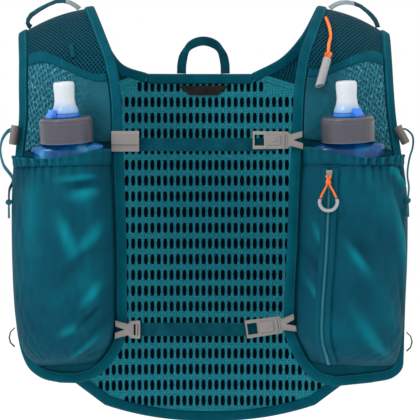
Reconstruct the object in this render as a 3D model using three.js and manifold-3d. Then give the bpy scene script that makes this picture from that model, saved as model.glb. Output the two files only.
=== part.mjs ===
// A running hydration vest with two soft flasks, in millimetres, +Z up, front towards -Y.
// The origin is midway between the two shoulder crests, where the vest sits on its wearer.
import * as THREE from 'three';
import { mergeVertices } from 'three/addons/utils/BufferGeometryUtils.js';
import Module from 'manifold-3d';

const wasm = await Module();
wasm.setup();

// Overall form
const FRONT_HALF_WIDTH = 184;
const FRONT_DEPTH = 88;
const FRONT_DROP = 340;
const BACK_DEPTH = 88;
const BACK_HALF_WIDTH = 170;
const BACK_DROP = 386;
const FRONT_CROWN = 7;
const BACK_WRAP = 54;
const NECK_DROP = 48;

// Cloth, webbing and clearances
const GAP = 0.35;
const BINDING_GAP = 1.1;
const STRAP_CLOTH = 2.4;
const PANEL_CLOTH = 2;
const BACK_CLOTH = 4;
const POCKET_CLOTH = 1.2;
const BINDING_WIDTH = 8;
const BINDING_CLOTH = 0.9;
const WEBBING_CLOTH = 1.4;
const JOIN_GAP = 0.6;

// Front pockets, stash pockets and their hems
const POCKET_BULGE = 48;
const CUFF_RUFFLE = 1.3;
const CUFF_RUFFLES = 7;
const STASH_BULGE = 1.6;
const STASH_CLOTH = 1;

// Flasks, caps, bite valves and levers
const FLASK_WIDTH = FRONT_HALF_WIDTH * 0.386;
const FLASK_DEPTH = 34;
const FLASK_LENGTH = 168;
const FLASK_WALL = 1.2;
const NECK_RADIUS = 19.5;
const NECK_HEIGHT = 20;
const CAP_RADIUS = 24.4;
const CAP_HEIGHT = 23;
const CAP_PLATE = 2.6;
const STEM_RADIUS = 8.6;
const VALVE_FOOT_RADIUS = 12.3;
const VALVE_TOP_RADIUS = 9.2;
const VALVE_HEIGHT = 28.5;
const LEVER_HEIGHT = 3;
const LEVER_RADIUS = 13.2;
const LEVER_TAB_REACH = 5.5;
const LEVER_TAB_HEIGHT = 7.5;
const LEVER_TAB_WIDTH = 9;
const FLASK_LEAN = 7;

// Sternum straps and their hardware
const STERNUM_WIDTH = 12;
const UPPER_STRAP_DROP = 120.5;
const LOWER_STRAP_DROP = 290;
const CLASP_THICKNESS = 4;
const CLASP_HEIGHT = 16.5;
const CLASP_FRAME = 12;
const CLASP_BODY = 20;
const CLASP_FORK = 14;
const CLASP_BAR = 1.6;
const UPPER_CLASP_LIFT = 4;
const HOOK_FRAME = 7.5;
const HOOK_BODY = 1.5;
const LOWER_CLASP_TILT = 8;
const KEEPER_LENGTH = 25.5;
const KEEPER_HEIGHT = 12.3;
const KEEPER_LIP = 6.5;
const KEEPER_CLOTH = 1.6;

// Loops, cords and small fittings
const HAUL_LOOP_WIDTH = 9;
const HAUL_LOOP_RISE = 32;
const HAUL_LOOP_SPAN = 43;
const SHOULDER_LOOP_WIDTH = 9;
const SHOULDER_LOOP_RISE = 12;
const SIDE_LOOP_WIDTH = 5;
const SIDE_LOOP_REACH = 5;
const SIDE_LOOP_HEIGHT = 17;
const LABEL_WIDTH = 50;
const LABEL_FOOT_WIDTH = 28;
const LABEL_HEIGHT = 10;
const LABEL_CLOTH = 1;
const BARREL_RADIUS = 4;
const BARREL_LENGTH = 18;
const BARREL_BORE = 2.3;
const PLUNGER_RADIUS = 2.8;
const ELASTIC_DIAMETER = 1.8;
const ELASTIC_KNOT = 2.6;
const ELASTIC_TAIL = 9;
const WHISTLE_RADIUS = 3.9;
const WHISTLE_LENGTH = 31;
const WHISTLE_BORE = 2.6;
const WHISTLE_BEVEL = 28;
const WHISTLE_CORD_DIAMETER = 3;
const WHISTLE_KNOT = 3.4;
const ZIP_TAPE_WIDTH = 15;
const ZIP_TAPE_CLOTH = 0.8;
const ZIP_COIL_WIDTH = 3.4;
const ZIP_COIL_HEIGHT = 1.1;
const SLIDER_LENGTH = 8;
const SLIDER_WIDTH = 6;
const SLIDER_HEIGHT = 2.6;
const PULL_CORD_DIAMETER = 2;
const PULL_KNOT = 2.7;
const PULL_DROP = 31;
const PULL_SPREAD = 16;
const GRIP_DIAMETER = 3.2;
const TAB_WIDTH = 4;
const TAB_HEIGHT = 14;

const COLOURS = {
  pocket: 0x005c6e,
  mesh: 0x2d8c9b,
  strapMesh: 0x005564,
  binding: 0x005f70,
  webbing: 0x055062,
  fitting: 0xa5a09c,
  barrel: 0x7d7a76,
  cap: 0x5c5a66,
  flask: 0x002d78,
  valve: 0xd2dce2,
  lever: 0x1496f0,
  accent: 0xf06423,
  tube: 0xa5a5aa,
  label: 0x302c2a,
};

const cloth = (color) => new THREE.MeshStandardMaterial({ color, roughness: 0.9, metalness: 0 });
const plastic = (color, roughness) => new THREE.MeshStandardMaterial({ color, roughness, metalness: 0 });

const vest = new THREE.Group();

function addPiece(name, geometry, material, parent = vest) {
  const mesh = new THREE.Mesh(geometry, material);
  mesh.name = name;
  parent.add(mesh);
  return mesh;
}

const radians = THREE.MathUtils.degToRad;
const lerp = THREE.MathUtils.lerp;
const clamp = THREE.MathUtils.clamp;
const smooth = THREE.MathUtils.smoothstep;
const vector = (x, y, z) => new THREE.Vector3(x, y, z);

// Six times the volume inside a triangle mesh, negative when its faces point inwards.
function windingVolume(points, triangles) {
  const across = new THREE.Vector3();
  return triangles.reduce((sum, [a, b, c]) => {
    across.crossVectors(points[b], points[c]);
    return sum + points[a].dot(across);
  }, 0);
}

function solidFrom(points, triangles) {
  const outward = windingVolume(points, triangles) > 0;
  const index = triangles.flatMap(([a, b, c]) => (outward ? [a, b, c] : [a, c, b]));
  const geometry = new THREE.BufferGeometry();
  geometry.setAttribute('position', new THREE.Float32BufferAttribute(points.flatMap((p) => p.toArray()), 3));
  geometry.setIndex(index);
  geometry.computeVertexNormals();
  return geometry;
}

function quadTriangles(a, b, c, d) {
  return [[a, b, c], [a, c, d]];
}

// A surface is a function place(u, v), with a normal that points away from the wearer's body.
function surfaceOf(place, outwardAtMiddle) {
  const step = 0.002;
  const rawNormal = (u, v) => {
    const u0 = clamp(u - step, 0, 1);
    const u1 = clamp(u + step, 0, 1);
    const v0 = clamp(v - step, 0, 1);
    const v1 = clamp(v + step, 0, 1);
    const along = place(u1, v).sub(place(u0, v));
    return along.cross(place(u, v1).sub(place(u, v0))).normalize();
  };
  const sign = Math.sign(rawNormal(0.5, 0.5).dot(outwardAtMiddle));
  return {
    place,
    normal: (u, v) => rawNormal(u, v).multiplyScalar(sign),
    raised(u, v, height) {
      return place(u, v).addScaledVector(this.normal(u, v), height);
    },
  };
}

// A cloth wall of one thickness, centred on a surface or raised above it.
function clothWall(surface, thickness, across, down, raise = 0, range = {}) {
  const { uFrom = () => 0, uTo = () => 1, vFrom = () => 0, vTo = () => 1, spread = (share) => share } = range;
  const points = [];
  for (const side of [0.5, -0.5]) {
    for (let level = 0; level <= down; level += 1) {
      for (let column = 0; column <= across; column += 1) {
        const shareAcross = spread(column / across);
        const shareDown = level / down;
        const v = lerp(vFrom(shareAcross), vTo(shareAcross), shareDown);
        const u = lerp(uFrom(v), uTo(v), shareAcross);
        points.push(surface.raised(u, v, raise + side * thickness));
      }
    }
  }
  const stride = across + 1;
  const back = stride * (down + 1);
  const triangles = [];
  for (let level = 0; level < down; level += 1) {
    for (let column = 0; column < across; column += 1) {
      const a = level * stride + column;
      triangles.push(...quadTriangles(a, a + 1, a + stride + 1, a + stride));
      triangles.push(...quadTriangles(back + a, back + a + stride, back + a + stride + 1, back + a + 1));
    }
  }
  const rim = [];
  for (let column = 0; column < across; column += 1) rim.push(column);
  for (let level = 0; level < down; level += 1) rim.push(level * stride + across);
  for (let column = across; column > 0; column -= 1) rim.push(down * stride + column);
  for (let level = down; level > 0; level -= 1) rim.push(level * stride);
  rim.forEach((from, k) => {
    const to = rim[(k + 1) % rim.length];
    triangles.push(...quadTriangles(from, from + back, to + back, to));
  });
  return solidFrom(points, triangles);
}

// A section of [sideways, outwards] points swept along frames of {at, side, out}.
function sweptSection(section, frames) {
  const points = frames.flatMap(({ at, side, out }) =>
    section.map(([s, t]) => at.clone().addScaledVector(side, s).addScaledVector(out, t)));
  const count = section.length;
  const triangles = [];
  for (let step = 0; step < frames.length - 1; step += 1) {
    for (let k = 0; k < count; k += 1) {
      const next = (k + 1) % count;
      const a = step * count;
      triangles.push(...quadTriangles(a + k, a + next, a + count + next, a + count + k));
    }
  }
  const flat = section.map(([s, t]) => new THREE.Vector2(s, t));
  const last = (frames.length - 1) * count;
  const wound = THREE.ShapeUtils.isClockWise(flat) ? -1 : 1;
  THREE.ShapeUtils.triangulateShape(flat, []).forEach(([a, b, c]) => {
    const face = wound > 0 ? [a, b, c] : [a, c, b];
    const start = wound > 0 ? [face[0], face[2], face[1]] : face;
    triangles.push(start);
    const end = [start[0], start[2], start[1]];
    triangles.push(end.map((k) => k + last));
  });
  return solidFrom(points, triangles);
}

// Frames along a path of points, with the outward direction kept near the given one.
function framesAlong(path, outwardAt) {
  return path.map((at, k) => {
    const before = path[Math.max(k - 1, 0)];
    const after = path[Math.min(k + 1, path.length - 1)];
    const ahead = after.clone().sub(before).normalize();
    const out = outwardAt(k).clone().addScaledVector(ahead, -outwardAt(k).dot(ahead)).normalize();
    return { at, side: new THREE.Vector3().crossVectors(ahead, out), out };
  });
}

const stripSection = (width, thickness, raise = 0) => [
  [-width / 2, raise],
  [width / 2, raise],
  [width / 2, raise + thickness],
  [-width / 2, raise + thickness],
];

// Folded tape, open on the side where the cloth goes in.
function bindingSection(clothThickness) {
  const near = clothThickness / 2 + BINDING_GAP;
  const far = near + BINDING_CLOTH;
  const edge = -BINDING_GAP;
  const rim = edge - BINDING_CLOTH;
  return [
    [rim, -far], [BINDING_WIDTH, -far], [BINDING_WIDTH, -near], [edge, -near],
    [edge, near], [BINDING_WIDTH, near], [BINDING_WIDTH, far], [rim, far],
  ];
}

function roundCord(points, diameter, sides, steps) {
  const section = new THREE.Shape();
  for (let k = 0; k < sides; k += 1) {
    const angle = (2 * Math.PI * k) / sides;
    const place = [Math.cos(angle) * diameter / 2, Math.sin(angle) * diameter / 2];
    if (k === 0) section.moveTo(...place);
    else section.lineTo(...place);
  }
  section.closePath();
  const extrudePath = new THREE.CatmullRomCurve3(points, false, 'centripetal');
  return new THREE.ExtrudeGeometry(section, { steps, extrudePath, bevelEnabled: false });
}

function manifoldOf(geometry) {
  const bare = geometry.clone();
  bare.deleteAttribute('normal');
  bare.deleteAttribute('uv');
  const merged = mergeVertices(bare, 1e-4);
  return new wasm.Manifold(new wasm.Mesh({
    numProp: 3,
    vertProperties: Float32Array.from(merged.attributes.position.array),
    triVerts: Uint32Array.from(merged.index.array),
  }));
}

function geometryOf(manifold) {
  const mesh = manifold.getMesh();
  const geometry = new THREE.BufferGeometry();
  geometry.setAttribute('position', new THREE.BufferAttribute(Float32Array.from(mesh.vertProperties), 3));
  geometry.setIndex(new THREE.BufferAttribute(Uint32Array.from(mesh.triVerts), 1));
  geometry.computeVertexNormals();
  return geometry;
}

function united(...geometries) {
  const [first, ...rest] = geometries.map(manifoldOf);
  return geometryOf(rest.reduce((sum, piece) => sum.add(piece), first));
}

// Rows of shares become objects with the columns' names.
const tableRows = (columns, rows) => rows.map((cells) => (
  Object.fromEntries(columns.map((name, k) => [name, cells[k]]))));

// Each side runs from its seam with the back panel over the shoulder and down to its bottom edge.
// Shares: across of FRONT_HALF_WIDTH, deep of FRONT_DEPTH or BACK_DEPTH, down of FRONT_DROP.
const EDGE_COLUMNS = ['innerAcross', 'innerDeep', 'innerDown', 'outerAcross', 'outerDeep', 'outerDown'];
const LEFT_EDGES = tableRows(EDGE_COLUMNS, [
  [0.336, 0.93, 0.142, 0.799, 0.52, 0.241],
  [0.467, 0.84, 0.117, 0.894, 0.54, 0.178],
  [0.558, 0.59, 0.046, 0.955, 0.43, 0.106],
  [0.604, 0, -0.031, 0.976, 0, 0.043],
  [0.537, -0.57, 0.054, 0.962, -0.41, 0.123],
  [0.486, -0.8, 0.127, 0.958, -0.55, 0.199],
  [0.455, -0.93, 0.22, 0.956, -0.59, 0.279],
  [0.444, -0.99, 0.34, 0.972, -0.6, 0.37],
  [0.434, -1, 0.477, 0.988, -0.6, 0.476],
  [0.425, -1, 0.64, 0.99, -0.6, 0.64],
  [0.424, -1, 0.787, 0.977, -0.6, 0.791],
  [0.424, -1, 0.855, 0.961, -0.61, 0.873],
  [0.454, -0.99, 0.906, 0.937, -0.63, 0.927],
  [0.509, -0.97, 0.949, 0.902, -0.67, 0.962],
  [0.579, -0.93, 0.98, 0.84, -0.73, 0.985],
  [0.665, -0.88, 0.995, 0.752, -0.81, 0.995],
]);
const RIGHT_EDGES = tableRows(EDGE_COLUMNS, [
  [0.224, 0.93, 0.142, 0.799, 0.52, 0.241],
  [0.377, 0.84, 0.1, 0.883, 0.54, 0.178],
  [0.479, 0.59, 0.044, 0.915, 0.43, 0.106],
  [0.558, 0, -0.032, 0.916, 0, 0.045],
  [0.501, -0.57, 0.046, 0.916, -0.41, 0.123],
  [0.458, -0.8, 0.111, 0.92, -0.55, 0.199],
  [0.43, -0.93, 0.206, 0.931, -0.59, 0.279],
  [0.418, -0.99, 0.333, 0.955, -0.6, 0.37],
  [0.404, -1, 0.477, 0.984, -0.6, 0.476],
  [0.393, -1, 0.64, 0.988, -0.6, 0.64],
  [0.379, -1, 0.787, 0.977, -0.6, 0.791],
  [0.382, -1, 0.863, 0.971, -0.61, 0.887],
  [0.412, -0.99, 0.906, 0.969, -0.62, 0.927],
  [0.454, -0.97, 0.948, 0.962, -0.63, 0.962],
  [0.52, -0.94, 0.985, 0.92, -0.66, 0.984],
  [0.62, -0.88, 1.004, 0.81, -0.74, 0.996],
]);
const LAST_ROW = LEFT_EDGES.length - 1;
// A place down a side, given as a row of its table.
const row = (number) => number / LAST_ROW;
const CREST = row(3);
const TAB_TOP = row(4.06);
const BARREL_PLACE = row(6.55);
const STRAP_END = row(6.1);
const POCKET_END = row(12.8);
// Below this place a side's rows run together into its foot.
const FOOT_TURN = row(11.5);
const FOOT_MIDDLE = row(14);

const deepSize = (share) => share * (share > 0 ? BACK_DEPTH : FRONT_DEPTH);

// The back panel's face bows forward towards both sides.
const backPlane = (x) => BACK_DEPTH - BACK_WRAP * Math.abs(x / BACK_HALF_WIDTH) ** 2.4;

function sideSurface(edges, hand) {
  const curveOf = (end) => new THREE.CatmullRomCurve3(edges.map((section) => vector(
    hand * section[`${end}Across`] * FRONT_HALF_WIDTH,
    deepSize(section[`${end}Deep`]),
    -section[`${end}Down`] * FRONT_DROP,
  )));
  const inner = curveOf('inner');
  const outer = curveOf('outer');
  const place = (u, v) => {
    const start = inner.getPoint(v);
    const end = outer.getPoint(v);
    const point = start.clone().lerp(end, u);
    const fullness = smooth(v, 0, CREST) * (1 - smooth(v, row(10), row(13.8)));
    const crown = FRONT_CROWN * Math.sin(Math.PI * u) * fullness;
    const rise = (1 - smooth(v, CREST / 2, row(5))) * crown;
    point.y -= (crown - rise) * (v > CREST ? 1 : 0);
    point.z += rise;
    const seam = 1 - smooth(v, 0, CREST / 2);
    point.y = lerp(point.y, backPlane(point.x) - JOIN_GAP, seam);
    return point;
  };
  const surface = surfaceOf(place, vector(0, -1, 0));
  const plainNormal = surface.normal;
  surface.normal = (u, v) => {
    const middle = 0.8 * smooth(v, FOOT_TURN, row(13.5));
    return plainNormal(lerp(u, 0.5, middle), Math.min(v, FOOT_MIDDLE));
  };
  surface.width = (v) => outer.getPoint(v).distanceTo(inner.getPoint(v));
  surface.hand = hand;
  return surface;
}

const left = sideSurface(LEFT_EDGES, -1);
const right = sideSurface(RIGHT_EDGES, 1);

// The back panel: shares of BACK_HALF_WIDTH across and BACK_DROP down, at its middle and its edge.
const BACK_COLUMNS = ['halfWidth', 'middleDown', 'edgeDown'];
const BACK_ROWS = tableRows(BACK_COLUMNS, [
  [0.865, 0, 0.1],
  [0.84, 0.12, 0.18],
  [0.88, 0.26, 0.29],
  [0.97, 0.42, 0.43],
  [1, 0.58, 0.57],
  [1, 0.76, 0.71],
  [0.92, 0.9, 0.82],
  [0.75, 0.97, 0.89],
  [0.6, 1, 0.95],
]);

const backCurve = new THREE.CatmullRomCurve3(
  BACK_ROWS.map(({ halfWidth, middleDown, edgeDown }) => vector(halfWidth, middleDown, edgeDown)));

// How far the top edge falls from the flat neckline out to the armhole, as a share.
const neckShare = (across) => {
  const flat = (across < 0 ? LEFT_EDGES : RIGHT_EDGES)[0].innerAcross * FRONT_HALF_WIDTH;
  const edge = (across < 0 ? LEFT_EDGES : RIGHT_EDGES)[0].outerAcross * FRONT_HALF_WIDTH;
  return clamp((Math.abs(across) - flat) / (edge - flat), 0, 1);
};

// The back rows above this share follow the neckline and the shoulder seams.
const NECK_BAND = 0.08;

const back = surfaceOf((u, v) => {
  const section = backCurve.getPoint(v);
  const side = 2 * u - 1;
  const x = side * section.x * BACK_HALF_WIDTH;
  const span = BACK_DROP - NECK_DROP;
  const bow = Math.abs(side) ** 2.2;
  const level = lerp(section.y, section.z, lerp(neckShare(x), bow, smooth(v, NECK_BAND, 0.5)));
  return vector(x, backPlane(x), -NECK_DROP - level * span);
}, vector(0, 1, 0));

// How far in from an edge a place lies, as a share of the row that it is on.
function insetShare(side, end, v, inset) {
  const step = 0.004;
  const next = side.place(end, clamp(v + step, 0, 1));
  const ahead = next.sub(side.place(end, clamp(v - step, 0, 1))).normalize();
  const acrossRow = side.place(1, v).sub(side.place(0, v)).normalize();
  const slant = Math.max(new THREE.Vector3().crossVectors(ahead, acrossRow).length(), 0.3);
  return inset / (side.width(v) * slant);
}

const insideBinding = (side, inset) => ({
  uFrom: (v) => insetShare(side, 0, v, inset),
  uTo: (v) => 1 - insetShare(side, 1, v, inset),
});

const steps = (count) => Array.from({ length: count + 1 }, (_, k) => k / count);
const places = (from, to, count) => steps(count).map((share) => lerp(from, to, share));

// Where the rows and columns of the base walls lie, so that the bindings bend with them.
const SEAM_GAP = JOIN_GAP / FRONT_DROP;
const SIDE_LENGTH = 1.3 * FRONT_DROP;
const BACK_TOP = 0.002;
const BACK_COLUMNS_COUNT = 14;
const SIDE_COLUMNS_COUNT = 4;
const backRows = places(BACK_TOP, 1, 13);
const STRAP_START = 0.0015;
const strapRows = places(STRAP_START, STRAP_END, 12);
const panelRows = places(STRAP_END + SEAM_GAP, 1, 11);
const between = (rows) => ({ vFrom: () => rows[0], vTo: () => rows.at(-1) });

function addBackPanel() {
  const wall = clothWall(back, BACK_CLOTH, BACK_COLUMNS_COUNT, backRows.length - 1, 0, between(backRows));
  addPiece('back_panel', wall, cloth(COLOURS.mesh));
}

function addShoulderStrap(name, side) {
  const wall = clothWall(side, STRAP_CLOTH, SIDE_COLUMNS_COUNT, strapRows.length - 1, 0, between(strapRows));
  addPiece(`shoulder_strap_${name}`, wall, cloth(COLOURS.strapMesh));
}

function addFrontPanel(name, side) {
  const wall = clothWall(side, PANEL_CLOTH, SIDE_COLUMNS_COUNT, panelRows.length - 1, 0, between(panelRows));
  addPiece(`front_panel_${name}`, wall, cloth(COLOURS.pocket));
}

// Frames along an edge given as [u, v] places, with their side direction towards the cloth.
function edgeFrames(surface, route) {
  const path = route.map(([u, v]) => surface.place(u, v));
  return framesAlong(path, (k) => surface.normal(...route[k])).map((frame, k) => {
    const [u, v] = route[k];
    const inside = surface.place(lerp(u, 0.5, 0.1), lerp(v, 0.5, 0.1)).sub(frame.at);
    if (inside.dot(frame.side) < 0) frame.side.negate();
    return frame;
  });
}

function addSideBindings(name, side) {
  const section = bindingSection(STRAP_CLOTH);
  const bottom = steps(SIDE_COLUMNS_COUNT).slice(1, -1);
  const split = panelRows.findIndex((v) => v > row(7.9));
  const innerRoute = [
    ...strapRows.slice(3).map((v) => [0, v]),
    ...panelRows.slice(1).map((v) => [0, v]),
    ...bottom.map((share) => [share, 1]),
    ...panelRows.slice(split).reverse().map((v) => [1, v]),
  ];
  const outerRoute = [
    ...strapRows.slice(1).map((v) => [1, v]),
    ...panelRows.slice(1, split).map((v) => [1, v]),
    [1, panelRows[split] - 2 * SEAM_GAP],
  ];
  for (const [edge, route] of [['inner', innerRoute], ['outer', outerRoute]]) {
    const tape = sweptSection(section, edgeFrames(side, route));
    addPiece(`${edge}_binding_${name}`, tape, cloth(COLOURS.binding));
  }
}

function addBackBindings() {
  const section = bindingSection(BACK_CLOTH);
  const shareAt = (x) => 0.5 + x / (2 * BACK_ROWS[0].halfWidth * BACK_HALF_WIDTH);
  const neckFrom = shareAt(-LEFT_EDGES[0].innerAcross * FRONT_HALF_WIDTH);
  const neckTo = shareAt(RIGHT_EDGES[0].innerAcross * FRONT_HALF_WIDTH);
  const columns = steps(BACK_COLUMNS_COUNT);
  const neckRoute = columns.filter((u) => u > neckFrom && u < neckTo).map((u) => [u, BACK_TOP]);
  const hemRoute = [
    ...backRows.slice(1).map((v) => [0, v]),
    ...columns.slice(1, -1).map((u) => [u, 1]),
    ...backRows.slice(1).reverse().map((v) => [1, v]),
  ];
  addPiece('neck_binding', sweptSection(section, edgeFrames(back, neckRoute)), cloth(COLOURS.binding));
  addPiece('hem_binding', sweptSection(section, edgeFrames(back, hemRoute)), cloth(COLOURS.binding));
}

// Side wings join the back panel's edge to each front panel's outer edge below the arm.
const WING_TOP = 0.36;
const WING_END = 0.7;
const WING_BOW = 3;
const WING_CLOTH = 1.6;

function addSideWing(name, side, backEdge) {
  const clear = BINDING_GAP + BINDING_CLOTH;
  const beyond = (surface, end, v, halfCloth) => {
    const edge = surface.place(end, v);
    const inward = surface.place(lerp(end, 0.5, 0.08), v);
    return edge.clone().add(edge.clone().sub(inward).setLength(clear + halfCloth));
  };
  const place = (u, v) => {
    const start = beyond(back, backEdge, lerp(WING_TOP, WING_END, v), BACK_CLOTH);
    const end = beyond(side, 1, lerp(row(8.1), row(10.3), v), STRAP_CLOTH / 2);
    const point = start.lerp(end, u);
    point.x += side.hand * WING_BOW * Math.sin(Math.PI * u);
    return point;
  };
  const wing = surfaceOf(place, vector(side.hand, 0, 0));
  addPiece(`side_wing_${name}`, clothWall(wing, WING_CLOTH, 4, 4), cloth(COLOURS.mesh));
}

// A pocket stands proud of its panel. Shares run from the cuff's rim down to its foot seam.
const CUFF_TOP = row(7.12);
const CUFF_SEAM = 0.07;
const RIM_DROP = 0.02;
// Each fold is a ridge, or a valley where its rise is negative, at a share across and down.
const FOLD_COLUMNS = ['across', 'down', 'long', 'wide', 'rise', 'turn'];
const LEFT_FOLDS = tableRows(FOLD_COLUMNS, [
  [0.2, 0.18, 34, 7, 2.2, -58],
  [0.16, 0.3, 40, 6, -1.8, -50],
  [0.14, 0.45, 38, 6, 2, -42],
  [0.2, 0.6, 36, 7, -1.8, -38],
  [0.12, 0.7, 30, 6, 1.6, -35],
]);
const RIGHT_FOLDS = tableRows(FOLD_COLUMNS, [
  [0.58, 0.16, 30, 7, 1.8, 48],
  [0.64, 0.3, 32, 7, -1.6, 42],
  [0.7, 0.5, 34, 8, 1.6, 36],
  [0.82, 0.22, 40, 8, -1.8, 30],
  [0.88, 0.42, 36, 7, 1.8, 26],
]);

function foldRise(folds, hand, s, t, wide, high) {
  return folds.reduce((sum, fold) => {
    const dx = (s - fold.across) * wide;
    const dz = (t - fold.down) * high;
    const turn = radians(fold.turn);
    const along = dz * Math.cos(turn) + dx * Math.sin(turn);
    const across = dx * Math.cos(turn) - dz * Math.sin(turn);
    return sum + fold.rise * Math.exp(-((along / fold.long) ** 2) - (across / fold.wide) ** 2);
  }, 0);
}

function pocketSurface(side, folds) {
  const inset = BINDING_WIDTH + JOIN_GAP + POCKET_CLOTH;
  const { uFrom, uTo } = insideBinding(side, inset);
  const foot = PANEL_CLOTH / 2 + GAP + POCKET_CLOTH / 2;
  const wide = side.width(row(9));
  const high = side.place(0, CUFF_TOP).distanceTo(side.place(0, POCKET_END));
  const place = (s, t) => {
    const v = lerp(CUFF_TOP, POCKET_END, t);
    const u = lerp(uFrom(v), uTo(v), s);
    const across = Math.sin(Math.PI * clamp(s, 0, 1)) ** 0.34;
    const down = (1 - t ** 5) ** 0.55;
    const full = across * down;
    const wave = Math.sin(2 * Math.PI * CUFF_RUFFLES * s);
    const ruffle = CUFF_RUFFLE * wave * (1 - smooth(t, RIM_DROP, CUFF_SEAM));
    const rise = (foldRise(folds, side.hand, s, t, wide, high) + ruffle) * smooth(full, 0.3, 0.8);
    return side.raised(u, v, foot + POCKET_BULGE * full + rise);
  };
  const surface = surfaceOf(place, vector(0, -1, 0));
  surface.hand = side.hand;
  surface.panelShare = (s, t) => {
    const v = lerp(CUFF_TOP, POCKET_END, t);
    return lerp(uFrom(v), uTo(v), s);
  };
  return surface;
}

// Columns lie closer together towards a pocket's steep sides.
const towardsEdges = (share) => 0.5 - 0.5 * Math.cos(Math.PI * share);

function addPocket(name, pocket) {
  const dip = (share) => RIM_DROP * (0.6 + 0.6 * Math.sin(Math.PI * share));
  const seamGap = JOIN_GAP / FRONT_DROP;
  const cuff = { vFrom: dip, vTo: () => CUFF_SEAM - seamGap, spread: towardsEdges };
  const body = { vFrom: () => CUFF_SEAM + seamGap, spread: towardsEdges };
  addPiece(`pocket_cuff_${name}`, clothWall(pocket, POCKET_CLOTH, 28, 1, 0, cuff), cloth(COLOURS.pocket));
  addPiece(`pocket_${name}`, clothWall(pocket, POCKET_CLOTH, 11, 10, 0, body), cloth(COLOURS.pocket));
}

// The stretch pocket on a strap lies behind the flask, and its hem slopes down to the neck side.
const STASH_TOP = { inner: row(5.35), outer: row(3.95) };
const STASH_END = row(7.02);

function stashSurface(side) {
  const foot = STRAP_CLOTH / 2 + 2 * GAP + STASH_CLOTH / 2;
  const { uFrom, uTo } = insideBinding(side, BINDING_WIDTH + 2 * JOIN_GAP);
  const place = (s, t) => {
    const top = lerp(STASH_TOP.inner, STASH_TOP.outer, smooth(s, 0, 0.9));
    const v = lerp(top, STASH_END, t);
    const u = lerp(uFrom(v), uTo(v), s);
    return side.raised(u, v, foot + STASH_BULGE * Math.sin(Math.PI * s) * Math.sin(Math.PI * t * 0.9));
  };
  return surfaceOf(place, vector(0, -1, 0));
}

function addStashPocket(name, stash) {
  const hem = 0.09;
  const hemRange = { vTo: () => hem - 0.004 };
  const bodyRange = { vFrom: () => hem + 0.004 };
  addPiece(`stash_hem_${name}`, clothWall(stash, STASH_CLOTH * 1.8, 6, 1, STASH_CLOTH * 0.4, hemRange),
    cloth(COLOURS.binding));
  addPiece(`stash_pocket_${name}`, clothWall(stash, STASH_CLOTH, 6, 4, 0, bodyRange), cloth(COLOURS.mesh));
}

// A flask, its cap, bite valve and lever share one group, whose origin is at the pocket's rim.
// Shares of a flask's length down, and of its width and depth.
const FLASK_COLUMNS = ['down', 'wide', 'deep'];
const FLASK_ROWS = tableRows(FLASK_COLUMNS, [
  [-0.06, 0.66, 0.6],
  [-0.05, 0.9, 0.8],
  [-0.034, 0.98, 0.93],
  [-0.01, 0.9, 0.97],
  [0.02, 0.86, 1],
  [0.4, 0.85, 1],
  [0.75, 0.8, 0.88],
  [0.94, 0.7, 0.5],
  [1, 0.5, 0.15],
]);
const FLASK_SIDES = 14;
const CAP_SIDES = 18;
const VALVE_SIDES = 12;
const SHOULDER_RISE = 0.065 * FLASK_LENGTH;
const CAP_FOOT = SHOULDER_RISE + GAP;
const CAP_TOP = CAP_FOOT + CAP_HEIGHT;
const LEVER_FOOT = CAP_TOP + GAP;
const VALVE_FOOT = LEVER_FOOT + LEVER_HEIGHT + GAP;
const VALVE_TOP = VALVE_FOOT + VALVE_HEIGHT;

// Rings of half-sizes x and y at a height z and a shift along y, closed by a point on the axis at each end.
function ringSolid(rings, sides) {
  const points = [vector(0, rings[0].shift, rings[0].z)];
  rings.forEach(({ x, y, z, shift }) => {
    for (let k = 0; k < sides; k += 1) {
      const angle = (2 * Math.PI * k) / sides;
      points.push(vector(x * Math.cos(angle), y * Math.sin(angle) + shift, z));
    }
  });
  points.push(vector(0, rings.at(-1).shift, rings.at(-1).z));
  const triangles = [];
  const last = points.length - 1;
  for (let k = 0; k < sides; k += 1) {
    const next = (k + 1) % sides;
    triangles.push([0, 1 + next, 1 + k]);
    triangles.push([last, last - sides + k, last - sides + next]);
    for (let ring = 0; ring < rings.length - 1; ring += 1) {
      const a = 1 + ring * sides;
      triangles.push(...quadTriangles(a + k, a + next, a + sides + next, a + sides + k));
    }
  }
  return solidFrom(points, triangles);
}

const lathe = (profile, sides) => {
  const points = profile.map(([radius, z]) => new THREE.Vector2(radius, z));
  return new THREE.LatheGeometry([...points, points[0].clone()], sides).rotateX(Math.PI / 2);
};

function flaskGeometry() {
  const outside = FLASK_ROWS.map(({ down, wide, deep }) => ({
    z: -down * FLASK_LENGTH,
    x: (wide * FLASK_WIDTH) / 2,
    y: (deep * FLASK_DEPTH) / 2,
  })).reverse();
  const neck = [
    { z: SHOULDER_RISE, x: NECK_RADIUS, y: FLASK_DEPTH / 2 - FLASK_WALL },
    { z: SHOULDER_RISE + FLASK_WALL, x: NECK_RADIUS, y: NECK_RADIUS },
    { z: SHOULDER_RISE + NECK_HEIGHT - GAP, x: NECK_RADIUS, y: NECK_RADIUS },
  ];
  const everySecond = outside.filter((_, k) => k % 2 === 0);
  const inside = [...everySecond, ...neck].map(({ x, y, z }) => ({
    z: Math.max(z, FLASK_WALL * 2 - FLASK_LENGTH),
    x: x - FLASK_WALL,
    y: Math.max(y - FLASK_WALL, 1),
  })).reverse();
  // Below the rim the soft body bends to hang straight down, while its neck leans forward.
  const bent = [...outside, ...neck, ...inside].map((ring) => (
    { ...ring, shift: Math.min(ring.z, 0) * Math.tan(radians(FLASK_LEAN)) }));
  return ringSolid(bent, FLASK_SIDES);
}

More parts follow.
